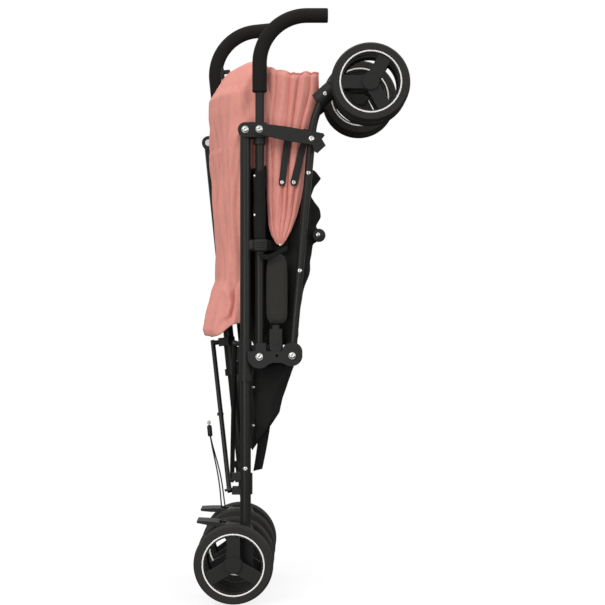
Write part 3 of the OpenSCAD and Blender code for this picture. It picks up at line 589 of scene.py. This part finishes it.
# Outlines read off the photograph in mm, as rows of (height, edge), but the wing's top as (share across, height).
# The hood's back is given as it stands, and the rest in the sides' own frames.
BACK_REAR = [
    (482, -66), (494, -70), (532, -61), (568, -50), (588, -41), (639, -42), (711, -50), (785, -51), (837, -55),
    (905, -61.5), (938, -60), (958, -47), (975, -36), (992, -24), (1002, -8),
]
WING_TOP = [(0, 984), (0.08, 985), (0.17, 981.5), (0.46, 976), (0.57, 972), (0.74, 977), (1, 975)]
WING_LEFT = [(651, 83), (656, 76), (671, 67), (690, 62), (736, 59), (828, 57.5), (991, 57.5)]
WING_RIGHT = [
    (651, 86), (662, 95), (680, 104.6), (708, 115), (736, 122), (769, 127.8),
    (828, 133), (865, 138), (884, 142.6), (921, 151), (939, 153), (976, 156), (991, 157),
]
SEAT_RIGHT = [
    (466, 112), (494, 117), (533, 124), (586, 135), (636, 150), (655, 154), (661, 164), (675, 167), (688, 158),
    (705, 163), (722, 161), (745, 150), (762, 155), (778, 168), (792, 158), (806, 146),
]
BASKET_RIGHT = [(272, 32), (291, 45), (309, 61), (341, 82), (370, 88), (397, 97.5), (426, 110), (432, 111)]

# Hood in mm: height where its back curves in, rise above that and half width gained there.
HOOD_SHOULDER, HOOD_CROWN, DOME_EXTRA = 885.0, 117.0, 6.0
# The ridge's drop to the front, and the heights between which it sets in.
RIDGE_DROP, RIDGE_RANGE = 15.0, (950, 1000)
# Height at which a wing's pleats end in its top edge, and the depth of the notches there.
WING_CUT, NOTCH = 972.0, 3.0


def hood_back_points(depth_mm):
    """Back of the hood: a U section that hangs from a closed ridge, open to the front, in metres.

    Section: y = w sin^0.5 t, and x goes from the front edge, which leans with the sides, to the rear by cos^0.5 t,
    with t from -90 to 90 degrees. Above the shoulder, height follows a sine and the half width a cosine, so the two
    sides meet in a ridge, which drops to the front. Folds push the cloth outwards by sine waves that fade upwards.
    Seams are narrow valleys, the cloth is dented under the right grip, and the pucker on the right is a ridge beside
    a valley, all of the form exp(-d^2).
    """
    count = 221
    t = even_angles(count, 77.0, 60.0, 0.5)[None]
    along = np.linspace(0, 1, count)[None]
    # Shares of v below and above the shoulder.
    hang, dome = 0.8, 0.2
    v = np.concatenate([np.linspace(0, hang, 110), np.linspace(hang, 1, 50)[1:]])[:, None]
    hem = 483 + 24 * np.abs(np.sin(t)) ** 9 + 1.5 * np.sin(14 * along)
    rise = np.clip((v - hang) / dome, 0, 1) * np.pi / 2
    hanging = hem + (HOOD_SHOULDER - hem) * np.clip(v / hang, 0, 1)
    z = np.where(v <= hang, hanging, HOOD_SHOULDER + HOOD_CROWN * np.sin(rise))
    w = (HOOD_HALF_W + DOME_EXTRA * smooth(z, 874, 940)) * np.where(v <= hang, 1.0, np.cos(rise) ** 0.4)
    y = w * root(np.sin(t), 0.5)
    share, h = lean_share(y), z - AXLE_Z
    front = 28 + 36 * smooth(z, 846, 890) + 12 * smooth(z, 965, 1000)
    edge = front * np.cos(SIDE_LEAN * share) - h * np.sin(SIDE_LEAN * share)
    rear = table_of(z, BACK_REAR) + h * math.sin(SIDE_LEAN / 2) * (1 - share)
    x = edge + (rear - edge) * root(np.cos(t), 0.5)
    free = 1 - smooth(np.abs(np.sin(t)), 0.985, 1)
    # Folds: four waves round the section that sway with height.
    fold = np.sin(2 * np.pi * (4.5 * along + 0.5 * v)) * (1 - smooth(v, 0.1, 0.95))
    fold += 0.4 * np.sin(2 * np.pi * (8.7 * along - 1.6 * v + 0.3)) * (1 - smooth(v, 0.75, 1))
    fold += 0.5 * np.sin(2 * np.pi * (2.2 * along + 2.4 * v + 0.1)) * (1 - smooth(v, 0.85, 1))
    fold += 0.2 * np.sin(2 * np.pi * (12.3 * along + 3.1 * v + 0.6 * np.sin(9 * v))) * (1 - smooth(v, 0.9, 1))
    push = depth_mm * fold * free
    # The flap's slanted seam, then the level seam of the dome.
    seam_y = -26 + 45 * (837 - z) / 86
    flap = smooth(z, 700, 750) * (1 - smooth(z, 834, 838))
    push += flap * (2.4 * smooth(y - seam_y, -1.5, 1.5) - 1.8 * np.exp(-(((y - seam_y + 2) / 2.4) ** 2))) * free
    push -= 0.9 * np.exp(-(((z - 955) / 3) ** 2))
    # The dent under the right grip, with a crease beside it.
    push -= 10 * np.exp(-(((x - 27) / 13) ** 2) - ((z - 915) / 24) ** 2) * smooth(-y, 30, 60)
    push -= 3 * np.exp(-(((x - 14 + (z - 915) / 3) / 4) ** 2) - ((z - 925) / 30) ** 2) * smooth(-y, 30, 60)
    # The pucker above the hem.
    crease_x = -9 + 5 * np.cos((z - 549) / 18)
    pinch = smooth(-y, 55, 68) * smooth(z, 512, 522) * (1 - smooth(z, 560, 590)) * free
    push += pinch * (7 * np.exp(-(((x - crease_x + 8) / 6.5) ** 2)) - 9 * np.exp(-(((x - crease_x) / 2.8) ** 2)))
    x = x - push * np.cos(t)
    y = y + push * np.sin(t) * 0.8
    z = z - RIDGE_DROP * smooth(z, *RIDGE_RANGE) * (1 - root(np.cos(t), 0.5)) ** 2
    return grid_of(x, y, z) / 1000


def pleat(across, z):
    """Height of a pleat, from 0 in its valley to 1: |sin|^0.6 of a count that grows from valley to valley.

    The valleys lie at uneven places across, as the cloth was folded by hand, and sway with height.
    """
    sway = 0.03 * np.sin(z / 58) + 0.015 * np.sin(z / 23 + 9 * across)
    count = np.interp(across + sway, [-0.3, 0.0, 0.17, 0.45, 0.6, 0.82, 1.0], [-2.0, 0.0, 1.0, 2.0, 3.0, 4.0, 5.0])
    return np.abs(np.sin(np.pi * count)) ** 0.6


def wing_points():
    """Folded side of the hood: a flat bag whose outer face has pleats that run down to the tip.

    Height and the share across the outline give x. The bag closes at its edges by (1 - (2s - 1)^4)^0.5 and at its
    tip and top by a smooth step, and the pleats' valleys go into its outer face.
    """
    tip, neck, inset = 651, 690, 12
    z = np.concatenate([np.linspace(tip, neck, 26), np.linspace(neck, WING_CUT, 96)[1:]])[:, None]
    left, right = table_of(z, WING_LEFT), table_of(z, WING_RIGHT)
    s = np.linspace(0, 2, 320, endpoint=False)[None]
    across = np.where(s <= 1, s, 2 - s)
    edge = np.sqrt(np.clip(1 - (2 * across - 1) ** 4, 0, 1)) * smooth(z, 650, 668) * (1 - smooth(z, 960, 973))
    half = 4 + 7.5 * smooth(z, 655, 860)
    valley = (1 - pleat(across, z)) * (2 + 5 * smooth(z, 660, 730))
    fine = 0.6 * np.sin(np.pi * (11.3 * across - z / 90)) * smooth(z, 670, 720)
    y = inset + half + np.where(s <= 1, -half + valley + fine, half) * edge
    x = left + (right - left) * across
    notch = NOTCH * (1 - pleat(across, WING_CUT))
    top = (table_of(across, WING_TOP) - WING_CUT - notch) * smooth(z, 900, WING_CUT)
    return grid_of(x, y, z + top)


def hood_top_points():
    """Folded top of the hood between its wings: ridges across the stroller, in a sheet that sags in the middle.

    Height is the wings' top less a sag of 1 - (y/w)^2, with the wings' pleats as its ridges and its front turned down.
    At the rear it rises into the arch of the hood's back, h = (1 - (|y|/w)^5)^0.5 with the dome's w, and ends under
    its lip.
    """
    rear, front, highest, sag, under_lip = 57.5, 156.0, 974.0, 9.0, 2.0
    span = np.linspace(0, 1, 120)[:, None]
    y = np.linspace(-HOOD_HALF_W, HOOD_HALF_W, 70)[None]
    x = rear + (front - rear) * span
    arch = HOOD_SHOULDER + HOOD_CROWN * np.sqrt(1 - (np.abs(y) / (HOOD_HALF_W + DOME_EXTRA)) ** 5)
    arch = arch - RIDGE_DROP * smooth(arch, *RIDGE_RANGE) - under_lip
    flat = np.minimum(table_of(span, WING_TOP), highest) - NOTCH * (1 - pleat(span, WING_CUT))
    flat = flat - sag * (1 - (y / HOOD_HALF_W) ** 2)
    z = arch + (flat - arch) * smooth(span, 0.05, 0.2) - 60 * smooth(span, 0.985, 1)
    return leant(grid_of(x, y, z))


class STROLLER_OT_hood(bpy.types.Operator):
    """Hood: hanging back, pleated wings and folded top"""

    bl_idname = "stroller.hood"
    bl_label = "Hood"

    def execute(self, context):
        cloth = context.scene.stroller_cloth
        # The back's hanging length and the top's length from front to rear, in metres.
        hang, run = 0.52, 0.12
        back = surface("hood_back", [hood_back_points(cloth.fold_depth * 1000)], wrap_cols=False)
        dress(back, "pink_cloth")
        thicken(back, cloth.cloth_thickness)
        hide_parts("hood")
        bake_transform(back)
        area_of(back) / hang
        top = surface("hood_top", [hood_top_points()], wrap_cols=False)
        dress(top, "pink_cloth")
        thicken(top, cloth.cloth_thickness)
        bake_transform(top)
        area_of(top) / run
        for side in SIDES:
            wing = surface(f"{side}_hood_side", [on_side(wing_points(), side)])
            dress(wing, "pink_cloth")
            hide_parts(f"{side}_hood_wing")
            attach(wing, f"{side}_side")
        return {"FINISHED"}


class STROLLER_OT_seat(bpy.types.Operator):
    """Folded seat: a crumpled bag of black cloth between the sides

    Section: a superellipse of power 0.3 from the rear to the outline. Three sine waves that cross make its creases,
    and the root of a smooth step closes it at both ends.
    """

    bl_idname = "stroller.seat"
    bl_label = "Seat"

    def execute(self, context):
        z = np.concatenate([[464, 464.5, 465.5, 467], np.linspace(469, 803, 110), [805, 806]])[:, None]
        t = around(240)[None]
        left, right, power = 60.0, table_of(z, SEAT_RIGHT), 0.3
        w = 63 + 18 * (1 - smooth(z, 596, 644))
        crease = np.sin(z / 17 + 2.5 * np.sin(2 * t)) + 0.7 * np.sin(z / 9.5 - 3 * t) + 0.5 * np.sin(5 * t + z / 31)
        end = smooth(z, 464, 469) * (1 - smooth(z, 792, 806))
        shrink = np.sqrt(np.clip(end, 0.0, 1))
        x = (left + right) / 2 + (right - left - 5) / 2 * root(np.cos(t), power) * shrink
        x = x + 2.4 * crease * np.cos(t) * end
        y = (w - 2.5) * root(np.sin(t), power) * shrink + 1.2 * crease * np.sin(t) * end
        piece = surface("seat_cloth", [leant(grid_of(x, y, z))])
        dress(piece, "black_cloth")
        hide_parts("seat")
        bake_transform(piece)
        return {"FINISHED"}


class STROLLER_OT_basket(bpy.types.Operator):
    """Basket: a limp mesh bag, and the strap that hangs from it

    Section of the bag: a superellipse of power 0.36 that is narrower below, with two sine waves round it. The strap
    is a straight band that narrows downwards and sways by a sine.
    """

    bl_idname = "stroller.basket"
    bl_label = "Basket"

    def execute(self, context):
        z = np.linspace(272, 430, 60)[:, None]
        t = around(200)[None]
        left, right, power = 31.0, table_of(z, BASKET_RIGHT), 0.36
        wave = np.sin(4 * t + z / 23) + 0.6 * np.sin(7 * t - z / 15)
        ease = smooth(z, 272, 290) * (1 - 0.6 * smooth(z, 415, 430))
        w = 76.5 - 8 * (1 - smooth(z, 272, 330))
        x = (left + right) / 2 + (right - left) / 2 * root(np.cos(t), power) + 1.4 * wave * np.cos(t) * ease
        y = w * root(np.sin(t), power) + 1.4 * wave * np.sin(t) * ease
        piece = surface("basket_mesh", [leant(grid_of(x, y, z))])
        dress(piece, "black_mesh")
        thicken(piece, 0.0014)
        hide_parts("basket")
        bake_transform(piece)
        height, webbing = 0.16, 0.019
        area_of(piece) / height
        v = np.linspace(0, 1, 30)[:, None]
        u = np.linspace(-1, 1, 9)[None]
        sway = 3 * np.sin(3 * v)
        x = 55 - 13.5 * v + (10.5 - 2 * v) * u + sway * 0.3
        y = -66 + sway + 0.4 * u
        z = 318 - 84 * v + 2 * u
        flap = surface("basket_flap", [leant(grid_of(x, y, z))], wrap_cols=False)
        dress(flap, "black_cloth", "Nylon webbing")
        thicken(flap, WEBBING_T)
        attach(flap, "hood")
        area_of(flap) / webbing
        return {"FINISHED"}


def puff(piece, voxel, pressure, cap, frames=20):
    """Swells a closed bag: remeshed at voxel size, blown up as cloth, no point moved further than cap."""
    remesh = piece.modifiers.new("Remesh", "REMESH")
    remesh.mode = "VOXEL"
    remesh.voxel_size = voxel
    context = bpy.context
    made = bpy.data.meshes.new_from_object(piece.evaluated_get(context.evaluated_depsgraph_get()))
    piece.modifiers.clear()
    piece.data = made
    rest = np.empty(len(made.vertices) * 3)
    made.vertices.foreach_get("co", rest)
    cloth = piece.modifiers.new("Cloth", "CLOTH")
    cloth.settings.use_pressure = True
    cloth.settings.uniform_pressure_force = pressure
    cloth.settings.effector_weights.gravity = 0
    for number in range(1, frames + 1):
        context.scene.frame_set(number)
    blown = piece.evaluated_get(context.evaluated_depsgraph_get()).to_mesh()
    moved = np.empty(len(made.vertices) * 3)
    blown.vertices.foreach_get("co", moved)
    piece.modifiers.clear()
    context.scene.frame_set(1)
    shift = (moved - rest).reshape(-1, 3)
    length = np.linalg.norm(shift, axis=1, keepdims=True)
    shift *= np.minimum(1, cap / np.maximum(length, 1e-9))
    made.vertices.foreach_set("co", (rest.reshape(-1, 3) + shift).ravel())
    made.polygons.foreach_set("use_smooth", np.ones(len(made.polygons), bool))
    made.update()


class STROLLER_OT_bumper_pads(bpy.types.Operator):
    """Bumper pads: stuffed bags, blown up a little as cloth

    Section: a superellipse of power 0.6, drawn in at both ends by (1 - (2v - 1)^12)^0.5 and a little towards the top.
    """

    bl_idname = "stroller.bumper_pads"
    bl_label = "Bumper pads"

    def execute(self, context):
        v = np.concatenate([[0.0, 0.012], np.linspace(0.03, 0.97, 40), [0.988, 1.0]])[:, None]
        t = around(64)[None]
        lo, hi = (np.array(c) * 1000 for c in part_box("right_bumper_pad"))
        middle, half_w, half_t, power = (lo[0] + hi[0]) / 2, 19.5, 10.0, 0.6
        draw_in = np.sqrt(np.clip(1 - (2 * v - 1) ** 12, 0, 1)) * (1 - 0.12 * smooth(v, 0.7, 1.0))
        x = middle + half_w * root(np.cos(t), power) * draw_in
        y = half_t * root(np.sin(t), power) * draw_in
        z = lo[2] + 0.8 + (hi[2] - lo[2] - 1.6) * v
        points = grid_of(x, y, z)
        for side in SIDES:
            pad = surface(f"{side}_pad_cover", [on_side(points, side)])
            puff(pad, voxel=0.005, pressure=4.0, cap=0.003)
            subdivide(pad)
            dress(pad, "black_cloth", "Brushed jersey, pads")
            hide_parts(f"{side}_bumper_pad")
            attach(pad, f"{side}_knuckle")
        return {"FINISHED"}


class STROLLER_OT_straps(bpy.types.Operator):
    """Cloth sleeves on the side tubes, the fold strap with its ridged buckle and its loose end

    Sleeve: a circle whose radius ripples by sines, up to a slanted edge. Strap: a flat band, carried inwards by a
    smooth step. Loose end: a narrow band that hangs through v(1 - v)^2.
    """

    bl_idname = "stroller.straps"
    bl_label = "Straps and sleeves"

    def execute(self, context):
        v = np.linspace(0, 1, 60)[:, None]
        t = around(48)[None]
        foot, top = 664, 783 - 8 * np.cos(t - 2.4)
        z = foot + (top - foot) * v
        r = 10.2 + 0.5 * np.sin(z / 11 + 2 * t) + 0.3 * np.sin(z / 5 - 3 * t)
        cuff = grid_of(SIDE_X + r * np.cos(t), r * np.sin(t), z)
        run = 0.12
        for side in SIDES:
            sleeve = surface(f"{side}_tube_sleeve", [on_side(cuff, side)])
            dress(sleeve, "black_cloth")
            thicken(sleeve, 0.001)
            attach(sleeve, f"{side}_side")
            area_of(sleeve) / run
        ridges = [slab(38, 57, -12.4, -10, z, z + 2.2, 0.4, 8, 16) for z in (642.5, 647, 651.5, 656)]
        blocks = [slab(23.5, 40, -8.5, 8.5, 640.5, 662.5, 0.6), slab(35.5, 60, -11.4, 11.4, 640, 663, 0.22)]
        buckle = surface("right_buckle", [on_side(p, "right") for p in [*blocks, *ridges]])
        dress(buckle, "black_plastic")
        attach(buckle, "right_side")
        u = np.linspace(-1, 1, 9)[None]
        band = grid_of(57 + 41 * v, -8 + 33 * smooth(v, 0, 0.35), 651.5 + 9.5 * u + 1.5 * v)
        curl = 637 + 8 * v - 70 * v * (1 - v) ** 2
        loose = grid_of(45 + 52 * v, -15 - 3 * np.sin(np.pi * v) + 2 * u, curl + 4.5 * u)
        for name, points, width in (("right_fold_strap", band, 0.019), ("right_strap_end", loose, 0.01)):
            strap = surface(name, [on_side(points, "right")], wrap_cols=False)
            dress(strap, "black_cloth", "Nylon webbing")
            thicken(strap, WEBBING_T)
            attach(strap, "right_side")
            area_of(strap) / width
        return {"FINISHED"}


class STROLLER_OT_clips(bpy.types.Operator):
    """Snaps, the discs of the seat's sides, the knuckles' holes and the clip on the left handle"""

    bl_idname = "stroller.clips"
    bl_label = "Snaps and clips"

    def execute(self, context):
        snap = [(0, 1.4), (1.8, 1.3), (2.7, 0.6), (2.9, -0.6), (0, -0.6)]
        disc = [(0, 3), (10.5, 3), (12, 2.2), (12.5, 0), (12.5, -3), (0, -3)]
        boss = [(0, 1.6), (2.4, 1.5), (4.2, 0.9), (4.6, -0.6), (0, -0.6)]
        hole = [(0, 0.15), (2.4, 0.15), (2.6, -0.3), (0, -0.3)]
        side_snaps = [(84, 12.4, 653), (37.4, -5.8, 779), (37.4, -5.8, 707)]
        sets = [
            ("right_side", "right", "side_snaps", snap, "steel", side_snaps),
            ("hood", "right", "basket_snaps", snap, "steel", [(34, 17, 389), (34, 17, 318)]),
        ]
        for kind, profile, slot, at, bodies in (
            ("seat_disc", disc, "black_plastic", (155.5, 29, 671.5), ("hood", "left_side")),
            ("disc_rivet", boss, "steel", (153.7, 26, 672.5), ("hood", "left_side")),
            ("knuckle_hole", hole, "black_plastic", (78, -CHEEK_OUT, FRONT_Z), ("right_knuckle", "left_knuckle")),
        ):
            sets += [(body, side, f"{side}_{kind}", profile, slot, [at]) for side, body in zip(SIDES, bodies)]
        for body, side, name, profile, slot, places in sets:
            piece = surface(name, [on_side(turned_profile(profile, at, -1, 28), side) for at in places])
            dress(piece, slot, "Drilled hole" if profile is hole else None)
            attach(piece, body)
        hook = [slab(52, 64, -9, 9, 984, 1012, 0.35), slab(61, 76, -4, 4, 997, 1005, 0.4)]
        clip = surface("left_handle_clip", [on_side(p, "left") for p in hook])
        dress(clip, "black_plastic")
        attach(clip, "left_handle")
        return {"FINISHED"}


class STROLLER_OT_brace_ends(bpy.types.Operator):
    """Bosses on the upper ends of the brace bars, up to the arms of the sleeves that they belong to"""

    bl_idname = "stroller.brace_ends"
    bl_label = "Brace ends"

    def execute(self, context):
        reach = np.concatenate([[0, 0], np.linspace(0.5, 9.7, 10), [10.6, 10.6]])
        radius = 4.6 * np.array([0, 1] + [1] * 10 + [0.9, 0])
        drift = np.linspace(0, DRIFT, len(reach))
        for side, body, start in (("left", "right_brace", REAR_BAR_X), ("right", "left_brace", FRONT_BAR_X)):
            path = grid_of(start + reach + drift, BRACE_IN, BRACE_TOP_Z)
            boss = surface(f"{body}_boss", [on_side(sweep(path, radius, 24), side)])
            dress(boss, "black_plastic")
            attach(boss, body)
        return {"FINISHED"}


class STROLLER_OT_brake_cable(bpy.types.Operator):
    """Brake cable: two stiff runs from the brakes to the ferrule with its cap

    Each run is a tube along a straight line that bows forward by sin^2, and ferrule and cap are tubes in line.
    """

    bl_idname = "stroller.brake_cable"
    bl_label = "Brake cable"

    def execute(self, context):
        meet = np.array(CABLE_MEET) / 1000
        lift = np.array([-2.0, 0.0, 20.0]) / 1000
        barrel = meet + np.linspace(-0.2, 1, 12)[:, None] * lift
        barrel_r = 0.0046 * np.array([0, 0.9] + [1] * 8 + [0.9, 0])
        ferrule = surface("cable_ferrule", [sweep(barrel, barrel_r, 20)])
        dress(ferrule, "cable")
        tip = meet + np.linspace(1, 1.42, 10)[:, None] * lift
        tip_r = 0.0031 * np.array([0, 1, 1, 1, 1, 1, 1, 0.9, 0.6, 0])
        cap = surface("cable_cap", [sweep(tip, tip_r, 18)])
        dress(cap, "cable", "Clear vinyl cap")
        for piece in (ferrule, cap):
            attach(piece, "right_rear")
        v = np.linspace(0, 1, 40)[:, None]
        bow = np.array([0.004, 0.0, 0.0]) * np.sin(np.pi * v) ** 2
        for side in SIDES:
            foot = on_side(CABLE_FOOT, side)
            path = foot * (1 - v) + meet * v + bow
            run = surface(f"{side}_cable_run", [sweep(path, CABLE_D / 2000, 14)])
            dress(run, "cable")
            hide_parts("brake_cable")
            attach(run, "right_rear")
        return {"FINISHED"}


class STROLLER_OT_stage(bpy.types.Operator):
    """Pale floor, soft studio light and the camera"""

    bl_idname = "stroller.stage"
    bl_label = "Stage"

    def execute(self, context):
        scene = context.scene
        stage = scene.stroller_stage
        scene.view_settings.view_transform = "Standard"
        world = bpy.data.worlds.new("Studio")
        scene.world = world
        world.use_nodes = True
        tree = world.node_tree
        tree.nodes.clear()
        path = add_node(tree, "ShaderNodeLightPath")
        seen = add_node(
            tree,
            "ShaderNodeMath",
            {"operation": "MAXIMUM"},
            {0: (path, "Is Camera Ray"), 1: (path, "Is Transmission Ray")},
        )
        soft = add_node(tree, "ShaderNodeBackground", {"Color": (1, 1, 1, 1), "Strength": 0.75})
        white = add_node(tree, "ShaderNodeBackground", {"Color": (1, 1, 1, 1), "Strength": 1.0})
        mix = add_node(
            tree, "ShaderNodeMixShader", {}, {0: (seen, "Value"), 1: (soft, "Background"), 2: (white, "Background")}
        )
        add_node(tree, "ShaderNodeOutputWorld", {}, {"Surface": (mix, "Shader")})
        # Matt painted floor: white to the camera further out, with the object's shadow near it.
        material, tree, where = new_material("Pale studio floor")
        path = add_node(tree, "ShaderNodeLightPath")
        diffuse = add_node(tree, "ShaderNodeBsdfDiffuse", {"Color": tuple(stage.floor_colour)})
        glow = add_node(tree, "ShaderNodeEmission", {"Color": (1, 1, 1, 1)}, {"Strength": (path, "Is Camera Ray")})
        away = add_node(tree, "ShaderNodeVectorMath", {"operation": "LENGTH"}, {0: where["Vector"]})
        fade = add_node(
            tree,
            "ShaderNodeMapRange",
            {"From Min": 0.3, "From Max": 1.6, "To Min": 0.8, "To Max": 1.0},
            {"Value": (away, "Value")},
        )
        dim = add_node(
            tree, "ShaderNodeMixShader", {}, {0: (fade, "Result"), 1: (diffuse, "BSDF"), 2: (glow, "Emission")}
        )
        add_node(tree, "ShaderNodeOutputMaterial", {}, {"Surface": (dim, "Shader")})
        a = np.linspace(-12, 12, 3)
        floor = surface("studio_floor", [grid_of(a[:, None], a[None], 0.0)], wrap_cols=False)
        floor.data.materials.append(material)
        for name, place, size, power in (
            ("Key light", (-1.6, -2.6, 2.6), 1.8, 46.0),
            ("Fill light", (2.4, -2.2, 1.4), 2.2, 26.0),
            ("Top light", (0.2, 0.4, 3.2), 2.4, 30.0),
            ("Low light", (-0.5, -1.7, 0.4), 0.6, 8.0),
        ):
            lamp = bpy.data.lights.new(name, "AREA")
            lamp.size = size
            lamp.energy = power
            holder = bpy.data.objects.new(name, lamp)
            scene.collection.objects.link(holder)
            holder.location = place
            aim = np.array([0.1, 0.0, min(0.5, place[2] / 2)]) - np.array(place)
            tilt = math.atan2(math.hypot(aim[0], aim[1]), -aim[2])
            turn = math.atan2(aim[1], aim[0]) - math.pi / 2
            holder.rotation_euler = (tilt, 0, turn)
        # The photograph looks level along +y, at a point ahead of the rear axle and about half way up.
        camera_x, camera_z = 0.125, 0.5463
        camera = bpy.data.cameras.new("Photo camera")
        camera.sensor_width = 36
        camera.lens = 81.4
        holder = bpy.data.objects.new("Photo camera", camera)
        scene.collection.objects.link(holder)
        holder.location = (camera_x, -stage.camera_distance, camera_z)
        holder.rotation_euler = (math.pi / 2, 0, 0)
        scene.camera = holder
        return {"FINISHED"}


class STROLLER_PT_panel(bpy.types.Panel):
    """Settings of the stroller, and buttons for its pieces in the order that they are made"""

    bl_idname = "STROLLER_PT_panel"
    bl_label = "Folded umbrella stroller"
    bl_space_type = "VIEW_3D"
    bl_region_type = "UI"
    bl_category = "Stroller"

    def draw(self, context):
        for name, cls in GROUPS.items():
            for setting in cls.__annotations__:
                self.layout.prop(getattr(context.scene, name), setting)
        for operator in OPERATORS:
            self.layout.operator(operator.bl_idname)


GROUPS = {"stroller_cloth": StrollerCloth, "stroller_frame": StrollerFrame, "stroller_stage": StrollerStage}
OPERATORS = (
    STROLLER_OT_frame,
    STROLLER_OT_grips,
    STROLLER_OT_wheel_rings,
    STROLLER_OT_rivets,
    STROLLER_OT_hood,
    STROLLER_OT_seat,
    STROLLER_OT_basket,
    STROLLER_OT_bumper_pads,
    STROLLER_OT_straps,
    STROLLER_OT_clips,
    STROLLER_OT_brace_ends,
    STROLLER_OT_brake_cable,
    STROLLER_OT_stage,
)


def register():
    for cls in (*GROUPS.values(), *OPERATORS, STROLLER_PT_panel):
        bpy.utils.register_class(cls)
    for name, cls in GROUPS.items():
        setattr(bpy.types.Scene, name, bpy.props.PointerProperty(type=cls))


def unregister():
    for name in GROUPS:
        delattr(bpy.types.Scene, name)
    for cls in (STROLLER_PT_panel, *reversed(OPERATORS), *GROUPS.values()):
        bpy.utils.unregister_class(cls)


def main():
    """Makes every piece in order."""
    register()
    for operator in OPERATORS:
        group, name = operator.bl_idname.split(".")
        getattr(getattr(bpy.ops, group), name)()


if __name__ == "__main__":
    main()
